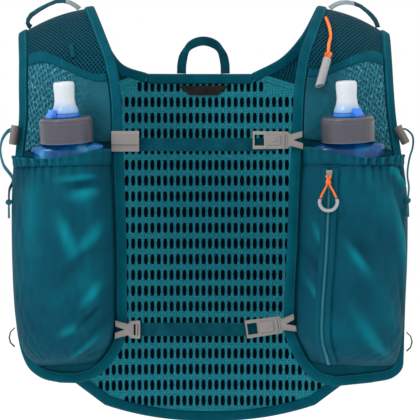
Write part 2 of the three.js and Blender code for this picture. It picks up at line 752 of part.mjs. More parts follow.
function capGeometry() {
  const bore = STEM_RADIUS + GAP;
  const chamfer = 1.5;
  return lathe([
    [NECK_RADIUS + GAP, CAP_FOOT],
    [CAP_RADIUS, CAP_FOOT],
    [CAP_RADIUS, CAP_TOP - 4 * chamfer],
    [CAP_RADIUS - chamfer / 2, CAP_TOP - chamfer],
    [CAP_RADIUS - 2 * chamfer, CAP_TOP],
    [bore, CAP_TOP],
    [bore, CAP_TOP - CAP_PLATE],
    [NECK_RADIUS + GAP, CAP_TOP - CAP_PLATE],
  ], CAP_SIDES);
}

function valveGeometry() {
  const flange = CAP_TOP - CAP_PLATE - GAP;
  return lathe([
    [0, flange - 2],
    [STEM_RADIUS + 3, flange - 2],
    [STEM_RADIUS + 3, flange],
    [STEM_RADIUS, flange],
    [STEM_RADIUS, VALVE_FOOT],
    [VALVE_FOOT_RADIUS, VALVE_FOOT],
    [VALVE_FOOT_RADIUS * 0.96, VALVE_FOOT + VALVE_HEIGHT * 0.3],
    [VALVE_TOP_RADIUS, VALVE_FOOT + VALVE_HEIGHT * 0.42],
    [VALVE_TOP_RADIUS * 0.96, VALVE_TOP - 1],
    [VALVE_TOP_RADIUS * 0.88, VALVE_TOP],
    [0, VALVE_TOP],
  ], VALVE_SIDES);
}

function leverGeometry(angle) {
  const ring = lathe([
    [STEM_RADIUS + GAP, LEVER_FOOT],
    [LEVER_RADIUS, LEVER_FOOT],
    [LEVER_RADIUS, LEVER_FOOT + LEVER_HEIGHT],
    [STEM_RADIUS + GAP, LEVER_FOOT + LEVER_HEIGHT],
  ], VALVE_SIDES);
  const near = VALVE_FOOT_RADIUS + GAP;
  const far = LEVER_RADIUS + LEVER_TAB_REACH;
  const side = new THREE.Shape();
  side.moveTo(near, LEVER_FOOT);
  side.lineTo(far, LEVER_FOOT);
  side.lineTo(far, LEVER_FOOT + LEVER_HEIGHT * 0.7);
  side.lineTo(near + 1.5, LEVER_FOOT + LEVER_TAB_HEIGHT);
  side.lineTo(near, LEVER_FOOT + LEVER_TAB_HEIGHT);
  side.closePath();
  const tab = new THREE.ExtrudeGeometry(side, { depth: LEVER_TAB_WIDTH, bevelEnabled: false });
  tab.translate(0, 0, -LEVER_TAB_WIDTH / 2).rotateX(Math.PI / 2).rotateZ(radians(angle));
  return united(ring, tab);
}

function addFlask(name, side, pocket, { across, tilt, leverAngle }) {
  const group = new THREE.Group();
  const rim = pocket.place(across, RIM_DROP);
  const panel = side.place(pocket.panelShare(across, RIM_DROP), lerp(CUFF_TOP, POCKET_END, RIM_DROP));
  const clear = POCKET_CLOTH / 2 + 2 * GAP + CUFF_RUFFLE;
  group.position.set(panel.x, rim.y + clear + FLASK_DEPTH / 2, panel.z);
  group.rotation.set(radians(FLASK_LEAN), radians(tilt), 0, 'YXZ');
  vest.add(group);
  addPiece(`flask_${name}`, flaskGeometry(), plastic(COLOURS.flask, 0.2), group);
  addPiece(`flask_cap_${name}`, capGeometry(), plastic(COLOURS.cap, 0.45), group);
  addPiece(`bite_valve_${name}`, valveGeometry(), plastic(COLOURS.valve, 0.3), group);
  addPiece(`valve_lever_${name}`, leverGeometry(leverAngle), plastic(COLOURS.lever, 0.35), group);
}

// The fittings lie before the bindings of the two front edges, and the straps lie behind the fittings.
const CLASP_Y = -(FRONT_DEPTH + STRAP_CLOTH / 2 + BINDING_GAP + BINDING_CLOTH + 1.4 * GAP);
const STERNUM_Y = CLASP_Y + GAP + WEBBING_CLOTH / 2;
const edgeAcross = (side, down) => {
  const found = places(STRAP_END, 1, 60).find((v) => -side.place(0, v).z > down);
  return side.place(0, found).x;
};

// A strap lies on its edges' plane between two places across.
function addSternumStrap(name, from, to, down) {
  const length = to - from;
  const geometry = new THREE.BoxGeometry(length, WEBBING_CLOTH, STERNUM_WIDTH);
  addPiece(name, geometry, cloth(COLOURS.webbing)).position.set(from + length / 2, STERNUM_Y, -down);
}

// A webbing frame, a body and a two-pronged hook in one flat fitting, drawn towards +X.
function claspGeometry(frame, body) {
  const half = CLASP_HEIGHT / 2;
  const root = frame + body;
  const tip = root + CLASP_FORK;
  const outline = new THREE.Shape();
  outline.moveTo(0, -half);
  outline.lineTo(root, -half * 0.94);
  outline.lineTo(root + CLASP_FORK * 0.15, -half * 0.62);
  outline.lineTo(tip, -half);
  outline.lineTo(tip, -half * 0.36);
  outline.lineTo(root + CLASP_FORK * 0.36, 0);
  outline.lineTo(tip * 0.985, half * 0.36);
  outline.lineTo(tip * 0.985, half);
  outline.lineTo(root + CLASP_FORK * 0.15, half * 0.62);
  outline.lineTo(root, half * 0.94);
  outline.lineTo(0, half);
  outline.closePath();
  const window = new THREE.Path();
  window.moveTo(CLASP_BAR, -half + 2 * CLASP_BAR);
  window.lineTo(frame - CLASP_BAR, -half + 2 * CLASP_BAR);
  window.lineTo(frame - CLASP_BAR, half - 2 * CLASP_BAR);
  window.lineTo(CLASP_BAR, half - 2 * CLASP_BAR);
  window.closePath();
  outline.holes.push(window);
  const geometry = new THREE.ExtrudeGeometry(outline, { depth: CLASP_THICKNESS, bevelEnabled: false });
  return geometry.rotateX(Math.PI / 2);
}

function addSternumHardware() {
  const length = CLASP_FRAME + CLASP_BODY + CLASP_FORK;
  const hookLength = HOOK_FRAME + HOOK_BODY + CLASP_FORK;
  const reach = BINDING_WIDTH * 1.12;
  const upperTip = edgeAcross(right, UPPER_STRAP_DROP) + reach;
  const lowerTip = edgeAcross(right, LOWER_STRAP_DROP) + reach - GAP;
  const hookTip = edgeAcross(left, LOWER_STRAP_DROP) - reach;
  const keeperFrom = edgeAcross(left, UPPER_STRAP_DROP) - reach;
  const fitting = plastic(COLOURS.fitting, 0.5);
  const hidden = length - CLASP_FRAME - CLASP_BODY / 2;
  const rim = BINDING_GAP + BINDING_CLOTH + 2 * GAP;
  const upperStart = edgeAcross(left, UPPER_STRAP_DROP) + rim;
  addSternumStrap('upper_strap', upperStart, upperTip - hidden, UPPER_STRAP_DROP);
  addSternumStrap('lower_strap', hookTip + CLASP_FORK, lowerTip - hidden, LOWER_STRAP_DROP);
  const upper = addPiece('upper_clasp', claspGeometry(CLASP_FRAME, CLASP_BODY), fitting);
  upper.position.set(upperTip - length, CLASP_Y, UPPER_CLASP_LIFT - UPPER_STRAP_DROP);
  const lower = addPiece('lower_clasp', claspGeometry(CLASP_FRAME, CLASP_BODY), fitting);
  lower.position.set(lowerTip - length, CLASP_Y, -LOWER_STRAP_DROP);
  lower.rotation.y = -radians(LOWER_CLASP_TILT);
  const hook = addPiece('lower_hook', claspGeometry(HOOK_FRAME, HOOK_BODY), fitting);
  hook.position.set(hookTip + hookLength, CLASP_Y - CLASP_THICKNESS, -LOWER_STRAP_DROP);
  hook.rotation.z = Math.PI;
  const wall = KEEPER_CLOTH;
  const keeper = new THREE.Shape();
  const back = CLASP_THICKNESS * 0.6;
  [
    [-CLASP_THICKNESS * 0.4, 0], [-CLASP_THICKNESS * 0.4 - wall, 0], [-back - wall, KEEPER_HEIGHT * 0.3],
    [-back - wall, KEEPER_HEIGHT * 0.8], [-wall, KEEPER_HEIGHT], [wall, KEEPER_HEIGHT],
    [wall, KEEPER_HEIGHT - wall], [-wall * 0.6, KEEPER_HEIGHT - wall], [-back, KEEPER_HEIGHT * 0.72],
    [-back, KEEPER_HEIGHT * 0.35], [0, 0], [0, -KEEPER_LIP], [-wall * 0.8, -KEEPER_LIP],
  ].forEach(([y, z], k) => (k === 0 ? keeper.moveTo(y, z) : keeper.lineTo(y, z)));
  keeper.closePath();
  const band = new THREE.ExtrudeGeometry(keeper, { depth: KEEPER_LENGTH, bevelEnabled: false });
  band.rotateZ(Math.PI / 2).rotateY(Math.PI / 2);
  addPiece('strap_keeper', band, fitting).position.set(keeperFrom, CLASP_Y - wall, -UPPER_STRAP_DROP);
}

// The haul loop stands up from the back of the neckline, left of the middle.
const HAUL_LOOP_CENTRE = -6.5;
const LOOP_COLUMNS = ['across', 'rise'];
const HAUL_ARCH = tableRows(LOOP_COLUMNS, [
  [-0.5, 0], [-0.49, 0.3], [-0.43, 0.62], [-0.28, 0.88], [0, 1],
  [0.28, 0.88], [0.43, 0.62], [0.49, 0.3], [0.5, 0],
]);

function addNeckPieces() {
  const span = BACK_DROP - NECK_DROP;
  const foot = BINDING_GAP + BINDING_CLOTH + GAP - NECK_DROP - BACK_TOP * span;
  const archPath = HAUL_ARCH.map(({ across, rise }) =>
    vector(HAUL_LOOP_CENTRE + across * HAUL_LOOP_SPAN, BACK_DEPTH, foot + rise * HAUL_LOOP_RISE));
  const webbing = stripSection(HAUL_LOOP_WIDTH, WEBBING_CLOTH, -WEBBING_CLOTH / 2);
  const frames = framesAlong(archPath, () => vector(0, -1, 0));
  addPiece('haul_loop', sweptSection(webbing, frames), cloth(COLOURS.webbing));
  const top = (BINDING_WIDTH + 2 * BINDING_GAP) / span + BACK_TOP;
  const end = top + LABEL_HEIGHT / span;
  const fullWidth = back.place(1, top).x - back.place(0, top).x;
  const middle = 0.5 + HAUL_LOOP_CENTRE / fullWidth;
  const halfShare = (v) => lerp(LABEL_WIDTH, LABEL_FOOT_WIDTH, (v - top) / (end - top)) / (2 * fullWidth);
  const range = {
    uFrom: (v) => middle - halfShare(v),
    uTo: (v) => middle + halfShare(v),
    vFrom: () => top,
    vTo: () => end,
  };
  const raise = -(BACK_CLOTH / 2 + GAP + LABEL_CLOTH / 2);
  addPiece('neck_label', clothWall(back, LABEL_CLOTH, 6, 1, raise, range), cloth(COLOURS.label));
}

// Loops over the shoulders, as shares across the strap and of their rise above it.
const LEFT_LOOP = tableRows(LOOP_COLUMNS, [
  [0.84, 0], [0.885, 0.42], [0.86, 0.85], [0.67, 1.05], [0.46, 1.05], [0.3, 0.62], [0.185, 0],
]);
const RIGHT_LOOP = tableRows(LOOP_COLUMNS, [
  [0.84, 0], [0.81, 0.4], [0.72, 0.74], [0.55, 0.98], [0.37, 0.78], [0.25, 0.42], [0.165, 0],
]);

function addShoulderLoop(name, side, table) {
  const foot = STRAP_CLOTH / 2 + 2.5 * GAP;
  const path = table.map(({ across, rise }) => {
    const on = side.raised(across, CREST, foot);
    return on.add(vector(0, 0, rise * SHOULDER_LOOP_RISE));
  });
  const centre = path[0].clone().lerp(path.at(-1), 0.5);
  const smoothPath = new THREE.CatmullRomCurve3(path).getPoints(11);
  const outward = (k) => smoothPath[k].clone().sub(centre).setY(0).normalize().add(vector(0, -0.45, 0));
  const section = stripSection(SHOULDER_LOOP_WIDTH, WEBBING_CLOTH * 0.7);
  const loop = sweptSection(section, framesAlong(smoothPath, outward));
  addPiece(`shoulder_loop_${name}`, loop, cloth(COLOURS.webbing));
}

// A small loop stands out from each side's outer edge, below its wing.
function addSideLoop(name, side) {
  const clear = 2 * BINDING_GAP + BINDING_CLOTH + 1.5 * GAP;
  const edge = side.place(1, row(10.75));
  const path = [[0, 0], [0.75, 0.22], [1, 0.5], [0.75, 0.78], [0, 1]].map(([reach, down]) => vector(
    edge.x + side.hand * (clear + reach * SIDE_LOOP_REACH),
    edge.y,
    edge.z - down * SIDE_LOOP_HEIGHT,
  ));
  const section = stripSection(SIDE_LOOP_WIDTH, WEBBING_CLOTH * 0.7);
  const frames = framesAlong(path, () => vector(side.hand, 0, 0));
  addPiece(`side_loop_${name}`, sweptSection(section, frames), cloth(COLOURS.webbing));
}

// A tab of doubled tape lies along the left strap.
function addStrapTab(side) {
  const half = TAB_WIDTH / 2;
  const middle = 0.39;
  const range = {
    uFrom: (v) => middle - half / side.width(v),
    uTo: (v) => middle + half / side.width(v),
    vFrom: () => TAB_TOP,
    vTo: () => TAB_TOP + TAB_HEIGHT / SIDE_LENGTH,
  };
  const raise = STRAP_CLOTH / 2 + GAP + WEBBING_CLOTH / 2;
  addPiece('strap_tab', clothWall(side, WEBBING_CLOTH, 1, 3, raise, range), cloth(COLOURS.webbing));
}

const knot = (centre, radius) => new THREE.IcosahedronGeometry(radius, 1).translate(...centre.toArray());
// Places a solid by a frame's directions and its origin.
function orientedSolid(geometry, basis, origin) {
  const bare = mergeVertices(geometry.deleteAttribute('normal').deleteAttribute('uv'), 1e-4);
  const attribute = bare.attributes.position;
  const points = Array.from({ length: attribute.count }, (_, k) => (
    new THREE.Vector3().fromBufferAttribute(attribute, k).applyMatrix4(basis).add(origin)));
  const triangles = [];
  for (let k = 0; k < bare.index.count; k += 3) triangles.push([...bare.index.array.slice(k, k + 3)]);
  return solidFrom(points, triangles);
}
// A cord takes a step every three diameters.
const stepsFor = (points, diameter) => {
  const length = new THREE.CatmullRomCurve3(points, false, 'centripetal').getLength();
  return Math.max(Math.round(length / (3 * diameter)), 3);
};
const strand = (points, diameter) => roundCord(points, diameter, 8, stepsFor(points, diameter));

// A barrel lock stands before a strap's outer edge, and its elastic cord passes through it crosswise.
// Shares of CORD_LOOP: outward, down and ahead from the lock; then places on the pocket.
const CORD_LOOP = 60;
const CORD_COLUMNS = ['outward', 'down', 'ahead'];
const POCKET_CORD_COLUMNS = ['across', 'down'];
const LEFT_CORD = tableRows(CORD_COLUMNS, [
  [0.19, 0.12, 0.02], [0.22, 0.3, 0.04], [0.17, 0.52, 0.1],
]);
const LEFT_CORD_ON_POCKET = tableRows(POCKET_CORD_COLUMNS, [[0.99, 0.112], [0.955, 0.16], [0.94, 0.194]]);
const RIGHT_CORD = tableRows(CORD_COLUMNS, [
  [0.19, 0.06, 0.02], [0.2, 0.22, 0.06], [0.14, 0.42, 0.14],
]);
const RIGHT_CORD_ON_POCKET = tableRows(POCKET_CORD_COLUMNS, [[0.97, 0.1], [0.93, 0.15], [0.89, 0.19]]);

function addBarrel(name, side, pocket, { tilt, cord, onPocket, strands }) {
  const clear = STRAP_CLOTH / 2 + BINDING_GAP + BINDING_CLOTH + 4 * GAP + BARREL_RADIUS;
  const at = side.raised(1, BARREL_PLACE, clear);
  const half = BARREL_LENGTH / 2;
  const cross = half * 0.42;
  const recess = half - BARREL_RADIUS * 0.4;
  const body = lathe([
    [0, -half],
    [BARREL_RADIUS * 0.8, -half],
    [BARREL_RADIUS, BARREL_RADIUS * 0.3 - half],
    [BARREL_RADIUS, half],
    [PLUNGER_RADIUS, half],
    [PLUNGER_RADIUS, recess],
    [0, recess],
  ], VALVE_SIDES);
  const bore = new THREE.CylinderGeometry(BARREL_BORE, BARREL_BORE, BARREL_RADIUS * 4, 8);
  bore.rotateZ(Math.PI / 2).translate(0, 0, cross);
  const bored = geometryOf(manifoldOf(body).subtract(manifoldOf(bore)));
  const barrel = addPiece(`barrel_lock_${name}`, bored, plastic(COLOURS.barrel, 0.5));
  barrel.position.copy(at);
  barrel.rotation.y = radians(tilt);
  const turned = (x, z) => vector(x, 0, z).applyAxisAngle(vector(0, 1, 0), radians(tilt)).add(at);
  const inBore = [-1.15, 0, 1.25].map((share) => turned(side.hand * share * BARREL_RADIUS, cross));
  const loop = cord.map(({ outward, down, ahead }) => inBore[1].clone().add(vector(
    side.hand * outward * CORD_LOOP,
    -ahead * CORD_LOOP,
    -down * CORD_LOOP,
  )));
  const lie = POCKET_CLOTH / 2 + ELASTIC_DIAMETER + 2 * GAP;
  const dense = onPocket.flatMap((to, k) => {
    if (k === 0) return [to];
    const from = onPocket[k - 1];
    return [{ across: lerp(from.across, to.across, 0.5), down: lerp(from.down, to.down, 0.5) }, to];
  });
  const rest = dense.map(({ across, down }) => pocket.raised(across, down, lie));
  const apart = ELASTIC_DIAMETER * 0.56;
  const pathOf = (hand) => [...inBore, ...loop, ...rest].map((point, k, all) => (
    point.clone().add(vector(0, 0, hand * (k < all.length - 1 ? apart : 0)))));
  const end = rest.at(-1);
  const last = onPocket.at(-1);
  const tailDown = ELASTIC_TAIL / pocket.place(0.5, 0).distanceTo(pocket.place(0.5, 1));
  const tail = (hand) => strand([0, 0.5, 1].map((share) => (
    pocket.raised(last.across + hand * share * 0.016, last.down + share * tailDown, lie))), ELASTIC_DIAMETER);
  const lengths = strands.map((hand) => strand(pathOf(hand), ELASTIC_DIAMETER));
  const cordSolid = united(...lengths, knot(end, ELASTIC_KNOT), tail(1), tail(-1));
  addPiece(`elastic_cord_${name}`, cordSolid, cloth(COLOURS.webbing));
}

// The whistle hangs before the right strap on a braided cord from the neck edge.
const WHISTLE_COLUMNS = ['across', 'place', 'rise'];
const WHISTLE_CORD = tableRows(WHISTLE_COLUMNS, [
  [0.14, row(3.55), 0.1], [0.21, row(3.75), 0], [0.25, row(4), 0],
  [0.25, row(4.4), 0.3], [0.26, row(4.86), 0.8],
]);
const WHISTLE_FOOT = { across: 0.2, place: row(5.9) };

function addWhistle(side) {
  const strapLie = STRAP_CLOTH / 2 + 2 * GAP + WHISTLE_CORD_DIAMETER / 2;
  const stashLie = STRAP_CLOTH / 2 + 3 * GAP + 3 * STASH_CLOTH + STASH_BULGE + WHISTLE_RADIUS;
  const path = WHISTLE_CORD.map(({ across, place, rise }) => (
    side.raised(across, place, lerp(strapLie, stashLie, rise))));
  const end = path.at(-1);
  const cord = united(strand(path, WHISTLE_CORD_DIAMETER), knot(end, WHISTLE_KNOT));
  addPiece('whistle_cord', cord, cloth(COLOURS.accent));
  const tube = lathe([
    [0, -WHISTLE_BORE],
    [WHISTLE_BORE, -WHISTLE_BORE],
    [WHISTLE_BORE, -WHISTLE_LENGTH],
    [WHISTLE_RADIUS, -WHISTLE_LENGTH],
    [WHISTLE_RADIUS, 0],
    [0, 0],
  ], VALVE_SIDES);
  const cutter = new THREE.BoxGeometry(WHISTLE_LENGTH, WHISTLE_LENGTH, WHISTLE_LENGTH);
  const bevel = radians(WHISTLE_BEVEL);
  cutter.translate(0, 0, -WHISTLE_LENGTH / 2).rotateY(-bevel);
  cutter.translate(0, 0, WHISTLE_RADIUS * Math.tan(bevel) - WHISTLE_LENGTH);
  const cut = geometryOf(manifoldOf(tube).subtract(manifoldOf(cutter)));
  const whistle = addPiece('whistle', cut, plastic(COLOURS.tube, 0.5));
  const ahead = side.raised(WHISTLE_FOOT.across, WHISTLE_FOOT.place, stashLie).sub(end).normalize();
  whistle.quaternion.setFromUnitVectors(vector(0, 0, -1), ahead);
  whistle.position.copy(end).addScaledVector(ahead, WHISTLE_KNOT + GAP);
}

// The zip runs down the right pocket between its cuff seam and its foot, nearer the inner side.
const ZIP_TOP = 0.082;
const ZIP_FOOT = 0.93;
const ZIP_SHARE = { top: 0.2, foot: 0.17 };
const zipShare = (t) => lerp(ZIP_SHARE.top, ZIP_SHARE.foot, (t - ZIP_TOP) / (ZIP_FOOT - ZIP_TOP));

function addZip(pocket) {
  const strip = (width, from) => {
    const half = (t) => width / 2 / pocket.place(1, t).distanceTo(pocket.place(0, t));
    return {
      uFrom: (t) => zipShare(t) - half(t),
      uTo: (t) => zipShare(t) + half(t),
      vFrom: () => from,
      vTo: () => ZIP_FOOT,
    };
  };
  const tapeRaise = POCKET_CLOTH / 2 + 2 * GAP + ZIP_TAPE_CLOTH / 2;
  const coilRaise = tapeRaise + ZIP_TAPE_CLOTH / 2 + 1.5 * GAP + ZIP_COIL_HEIGHT / 2;
  const coilFrom = ZIP_TOP + 0.05;
  addPiece('zip_tape', clothWall(pocket, ZIP_TAPE_CLOTH, 4, 10, tapeRaise, strip(ZIP_TAPE_WIDTH, ZIP_TOP)),
    cloth(COLOURS.binding));
  addPiece('zip_coil', clothWall(pocket, ZIP_COIL_HEIGHT, 1, 10, coilRaise, strip(ZIP_COIL_WIDTH, coilFrom)),
    cloth(COLOURS.mesh));
  const t = ZIP_TOP + 0.022;
  const out = pocket.normal(zipShare(t), t);
  const across = vector(pocket.hand, 0, 0).addScaledVector(out, -out.x * pocket.hand).normalize();
  const down = new THREE.Vector3().crossVectors(out, across);
  if (down.z > 0) down.negate();
  const seat = pocket.raised(zipShare(t), t, tapeRaise + ZIP_TAPE_CLOTH / 2 + 2 * GAP);
  const at = (a, b, c) => (
    seat.clone().addScaledVector(across, a).addScaledVector(down, b).addScaledVector(out, c));
  const basis = new THREE.Matrix4().makeBasis(across, down, out);
  const slider = new THREE.Shape();
  const half = SLIDER_WIDTH / 2;
  slider.moveTo(-half, -SLIDER_LENGTH / 2);
  slider.lineTo(half, -SLIDER_LENGTH / 2);
  slider.lineTo(half * 0.6, SLIDER_LENGTH / 2);
  slider.lineTo(-half * 0.6, SLIDER_LENGTH / 2);
  slider.closePath();
  const block = new THREE.ExtrudeGeometry(slider, { depth: SLIDER_HEIGHT, bevelEnabled: false });
  addPiece('zip_slider', orientedSolid(block, basis, seat), plastic(COLOURS.fitting, 0.4));
  const level = SLIDER_HEIGHT + GAP + GRIP_DIAMETER / 2;
  const head = SLIDER_LENGTH * 0.1;
  const tie = at(0, head + PULL_DROP * 0.2, level);
  const arm = (hand) => strand([
    at(hand * PULL_CORD_DIAMETER, head, level),
    tie,
    at(hand * PULL_SPREAD * 0.24, head + PULL_DROP * 0.42, level),
    at(hand * PULL_SPREAD * 0.47, head + PULL_DROP * 0.66, level),
  ], PULL_CORD_DIAMETER);
  addPiece('zip_pull_cord', united(arm(1), arm(-1), knot(tie, PULL_KNOT)), cloth(COLOURS.accent));
  const end = head + PULL_DROP * 0.66 + GAP;
  const grip = [
    [-0.49, 0.02], [-0.53, 0.12], [-0.4, 0.27], [-0.2, 0.34], [0, 0.36],
    [0.2, 0.34], [0.4, 0.27], [0.53, 0.12], [0.49, 0.02],
  ].map(([a, b]) => at(a * PULL_SPREAD, end + b * PULL_DROP, level));
  addPiece('zip_pull_grip', roundCord(grip, GRIP_DIAMETER, 8, 12), plastic(COLOURS.tube, 0.5));
}

addBackPanel();
addBackBindings();
addSternumHardware();
addNeckPieces();
const sides = [
  {
    name: 'left', side: left, folds: LEFT_FOLDS, backEdge: 0, loop: LEFT_LOOP,
    flask: { across: 0.49, tilt: -3, leverAngle: 215 },
    lock: { tilt: 8, cord: LEFT_CORD, onPocket: LEFT_CORD_ON_POCKET, strands: [1, -1] },
  },
  {
    name: 'right', side: right, folds: RIGHT_FOLDS, backEdge: 1, loop: RIGHT_LOOP,
    flask: { across: 0.5, tilt: -2.5, leverAngle: -55 },
    lock: { tilt: -27, cord: RIGHT_CORD, onPocket: RIGHT_CORD_ON_POCKET, strands: [0] },
  },
];
for (const { name, side, folds, backEdge, loop, flask, lock } of sides) {
  addShoulderStrap(name, side);
  addFrontPanel(name, side);
  addSideBindings(name, side);
  addSideWing(name, side, backEdge);
  const pocket = pocketSurface(side, folds);
  addPocket(name, pocket);
  addStashPocket(name, stashSurface(side));
  addFlask(name, side, pocket, flask);
  addShoulderLoop(name, side, loop);
  addSideLoop(name, side);
  addBarrel(name, side, pocket, lock);
}
addStrapTab(left);
addWhistle(right);
addZip(pocketSurface(right, RIGHT_FOLDS));

export default vest;
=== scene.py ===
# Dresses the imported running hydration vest: cloth, mesh, tape, flasks, fittings and cords.
import math

import bmesh
import bpy
import numpy as np
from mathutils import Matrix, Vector


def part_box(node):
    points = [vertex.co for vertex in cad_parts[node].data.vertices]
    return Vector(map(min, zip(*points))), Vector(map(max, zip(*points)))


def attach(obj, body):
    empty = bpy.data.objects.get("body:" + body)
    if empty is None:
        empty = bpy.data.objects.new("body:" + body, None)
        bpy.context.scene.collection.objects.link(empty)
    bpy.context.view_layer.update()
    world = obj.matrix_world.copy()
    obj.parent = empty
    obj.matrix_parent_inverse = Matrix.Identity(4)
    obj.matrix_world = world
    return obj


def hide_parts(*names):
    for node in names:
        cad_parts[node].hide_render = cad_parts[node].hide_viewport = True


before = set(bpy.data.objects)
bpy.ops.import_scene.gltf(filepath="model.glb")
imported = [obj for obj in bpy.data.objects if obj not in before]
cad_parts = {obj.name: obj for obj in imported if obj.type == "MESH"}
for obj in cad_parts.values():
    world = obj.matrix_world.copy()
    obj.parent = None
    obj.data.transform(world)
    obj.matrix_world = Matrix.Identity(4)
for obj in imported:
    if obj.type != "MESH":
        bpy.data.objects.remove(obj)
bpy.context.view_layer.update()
MM = 0.001

# Camera: level with the middle of the vest, far away, as the photo is taken.
CAMERA_AWAY, CAMERA_LEVEL, VIEW_WIDTH, SENSOR_WIDTH, CAMERA_REACH = 2.6, -0.1805, 0.399, 36, 50

def linked(name, data):
    """A new object of the scene."""
    obj = bpy.data.objects.new(name, data)
    bpy.context.scene.collection.objects.link(obj)
    return obj

camera = linked("camera", bpy.data.cameras.new("camera"))
camera.location = (0, -CAMERA_AWAY, CAMERA_LEVEL)
camera.rotation_euler = (math.radians(90), 0, 0)
camera.data.lens = SENSOR_WIDTH * CAMERA_AWAY / VIEW_WIDTH
camera.data.sensor_width = SENSOR_WIDTH
camera.data.clip_end = CAMERA_REACH
bpy.context.scene.camera = camera

# The same named sizes as the solids, in millimetres.
FRONT_HALF_WIDTH, FRONT_DEPTH, FRONT_DROP, FRONT_CROWN = 184, 88, 340, 7
BACK_DEPTH, BACK_HALF_WIDTH, BACK_DROP, BACK_WRAP, NECK_DROP = 88, 170, 386, 54, 48
GAP, JOIN_GAP = 0.35, 0.6
STRAP_CLOTH, PANEL_CLOTH, BACK_CLOTH, POCKET_CLOTH = 2.4, 2, 4, 1.2
BINDING_WIDTH, TAPE_RISE = 8, 1.8
POCKET_BULGE, STASH_BULGE, STASH_CLOTH = 48, 1.6, 1

# Both sides, row by row from the back seam over the shoulder to the foot: the inner edge's place across,
# deep and down, then the outer edge's, as shares of the front's half width, the depths and the drop.
LEFT_EDGES = [
    [0.336, 0.93, 0.142, 0.799, 0.52, 0.241], [0.467, 0.84, 0.117, 0.894, 0.54, 0.178],
    [0.558, 0.59, 0.046, 0.955, 0.43, 0.106], [0.604, 0, -0.031, 0.976, 0, 0.043],
    [0.537, -0.57, 0.054, 0.962, -0.41, 0.123], [0.486, -0.8, 0.127, 0.958, -0.55, 0.199],
    [0.455, -0.93, 0.22, 0.956, -0.59, 0.279], [0.444, -0.99, 0.34, 0.972, -0.6, 0.37],
    [0.434, -1, 0.477, 0.988, -0.6, 0.476], [0.425, -1, 0.64, 0.99, -0.6, 0.64],
    [0.424, -1, 0.787, 0.977, -0.6, 0.791], [0.424, -1, 0.855, 0.961, -0.61, 0.873],
    [0.454, -0.99, 0.906, 0.937, -0.63, 0.927], [0.509, -0.97, 0.949, 0.902, -0.67, 0.962],
    [0.579, -0.93, 0.98, 0.84, -0.73, 0.985], [0.665, -0.88, 0.995, 0.752, -0.81, 0.995],
]
RIGHT_EDGES = [
    [0.224, 0.93, 0.142, 0.799, 0.52, 0.241], [0.377, 0.84, 0.1, 0.883, 0.54, 0.178],
    [0.479, 0.59, 0.044, 0.915, 0.43, 0.106], [0.558, 0, -0.032, 0.916, 0, 0.045],
    [0.501, -0.57, 0.046, 0.916, -0.41, 0.123], [0.458, -0.8, 0.111, 0.92, -0.55, 0.199],
    [0.43, -0.93, 0.206, 0.931, -0.59, 0.279], [0.418, -0.99, 0.333, 0.955, -0.6, 0.37],
    [0.404, -1, 0.477, 0.984, -0.6, 0.476], [0.393, -1, 0.64, 0.988, -0.6, 0.64],
    [0.379, -1, 0.787, 0.977, -0.6, 0.791], [0.382, -1, 0.863, 0.971, -0.61, 0.887],
    [0.412, -0.99, 0.906, 0.969, -0.62, 0.927], [0.454, -0.97, 0.948, 0.962, -0.63, 0.962],
    [0.52, -0.94, 0.985, 0.92, -0.66, 0.984], [0.62, -0.88, 1.004, 0.81, -0.74, 0.996],
]
# The back, row by row: half width, level in the middle and level at the sides, as shares.
BACK_ROWS = [
    [0.865, 0, 0.1], [0.84, 0.12, 0.18], [0.88, 0.26, 0.29], [0.97, 0.42, 0.43], [1, 0.58, 0.57],
    [1, 0.76, 0.71], [0.92, 0.9, 0.82], [0.75, 0.97, 0.89], [0.6, 1, 0.95],
]


def row(number):
    return number / 15


CREST, STRAP_END, POCKET_END = row(3), row(6.1), row(12.8)
FOOT_TURN, FOOT_MIDDLE = row(11.5), row(14)
CUFF_TOP, CUFF_SEAM = row(7.12), 0.07
STASH_TOP_INNER, STASH_TOP_OUTER, STASH_END = row(5.35), row(3.95), row(7.02)
BACK_TOP, STRAP_START, NECK_BAND = 0.002, 0.0015, 0.08


def smooth(x, low, high):
    t = np.clip((np.asarray(x, float) - low) / (high - low), 0, 1)
    return t * t * (3 - 2 * t)


def mix(a, b, t):
    return a + (b - a) * t

def spread(a, b):
    return np.broadcast_arrays(np.asarray(a, float), np.asarray(b, float))

def run(points):
    """Length along a path up to each of its points."""
    return np.concatenate([[0], np.cumsum(np.linalg.norm(np.diff(points, axis=0), axis=-1))])


class Curve:
    """A centripetal Catmull-Rom curve through its points, evaluated at shares from 0 to 1."""

    def __init__(self, points):
        pts = np.asarray(points, float)
        self.points = np.vstack([2 * pts[0] - pts[1], pts, 2 * pts[-1] - pts[-2]])
        self.last = len(pts) - 1

    def __call__(self, share):
        share = np.clip(np.asarray(share, float), 0, 1)
        p = share * self.last
        k = np.minimum(np.floor(p).astype(int), self.last - 1)
        w = (p - k)[..., None]
        p0, p1, p2, p3 = (self.points[k + j] for j in range(4))
        d0, d1, d2 = (np.maximum(np.linalg.norm(b - a, axis=-1) ** 0.5, 1e-4)[..., None]
                      for a, b in ((p0, p1), (p1, p2), (p2, p3)))
        t1 = ((p1 - p0) / d0 - (p2 - p0) / (d0 + d1) + (p2 - p1) / d1) * d1
        t2 = ((p2 - p1) / d1 - (p3 - p1) / (d1 + d2) + (p3 - p2) / d2) * d1
        return p1 + t1 * w + (3 * (p2 - p1) - 2 * t1 - t2) * w ** 2 + (2 * (p1 - p2) + t1 + t2) * w ** 3


def unit(a):
    return a / np.maximum(np.linalg.norm(a, axis=-1, keepdims=True), 1e-12)


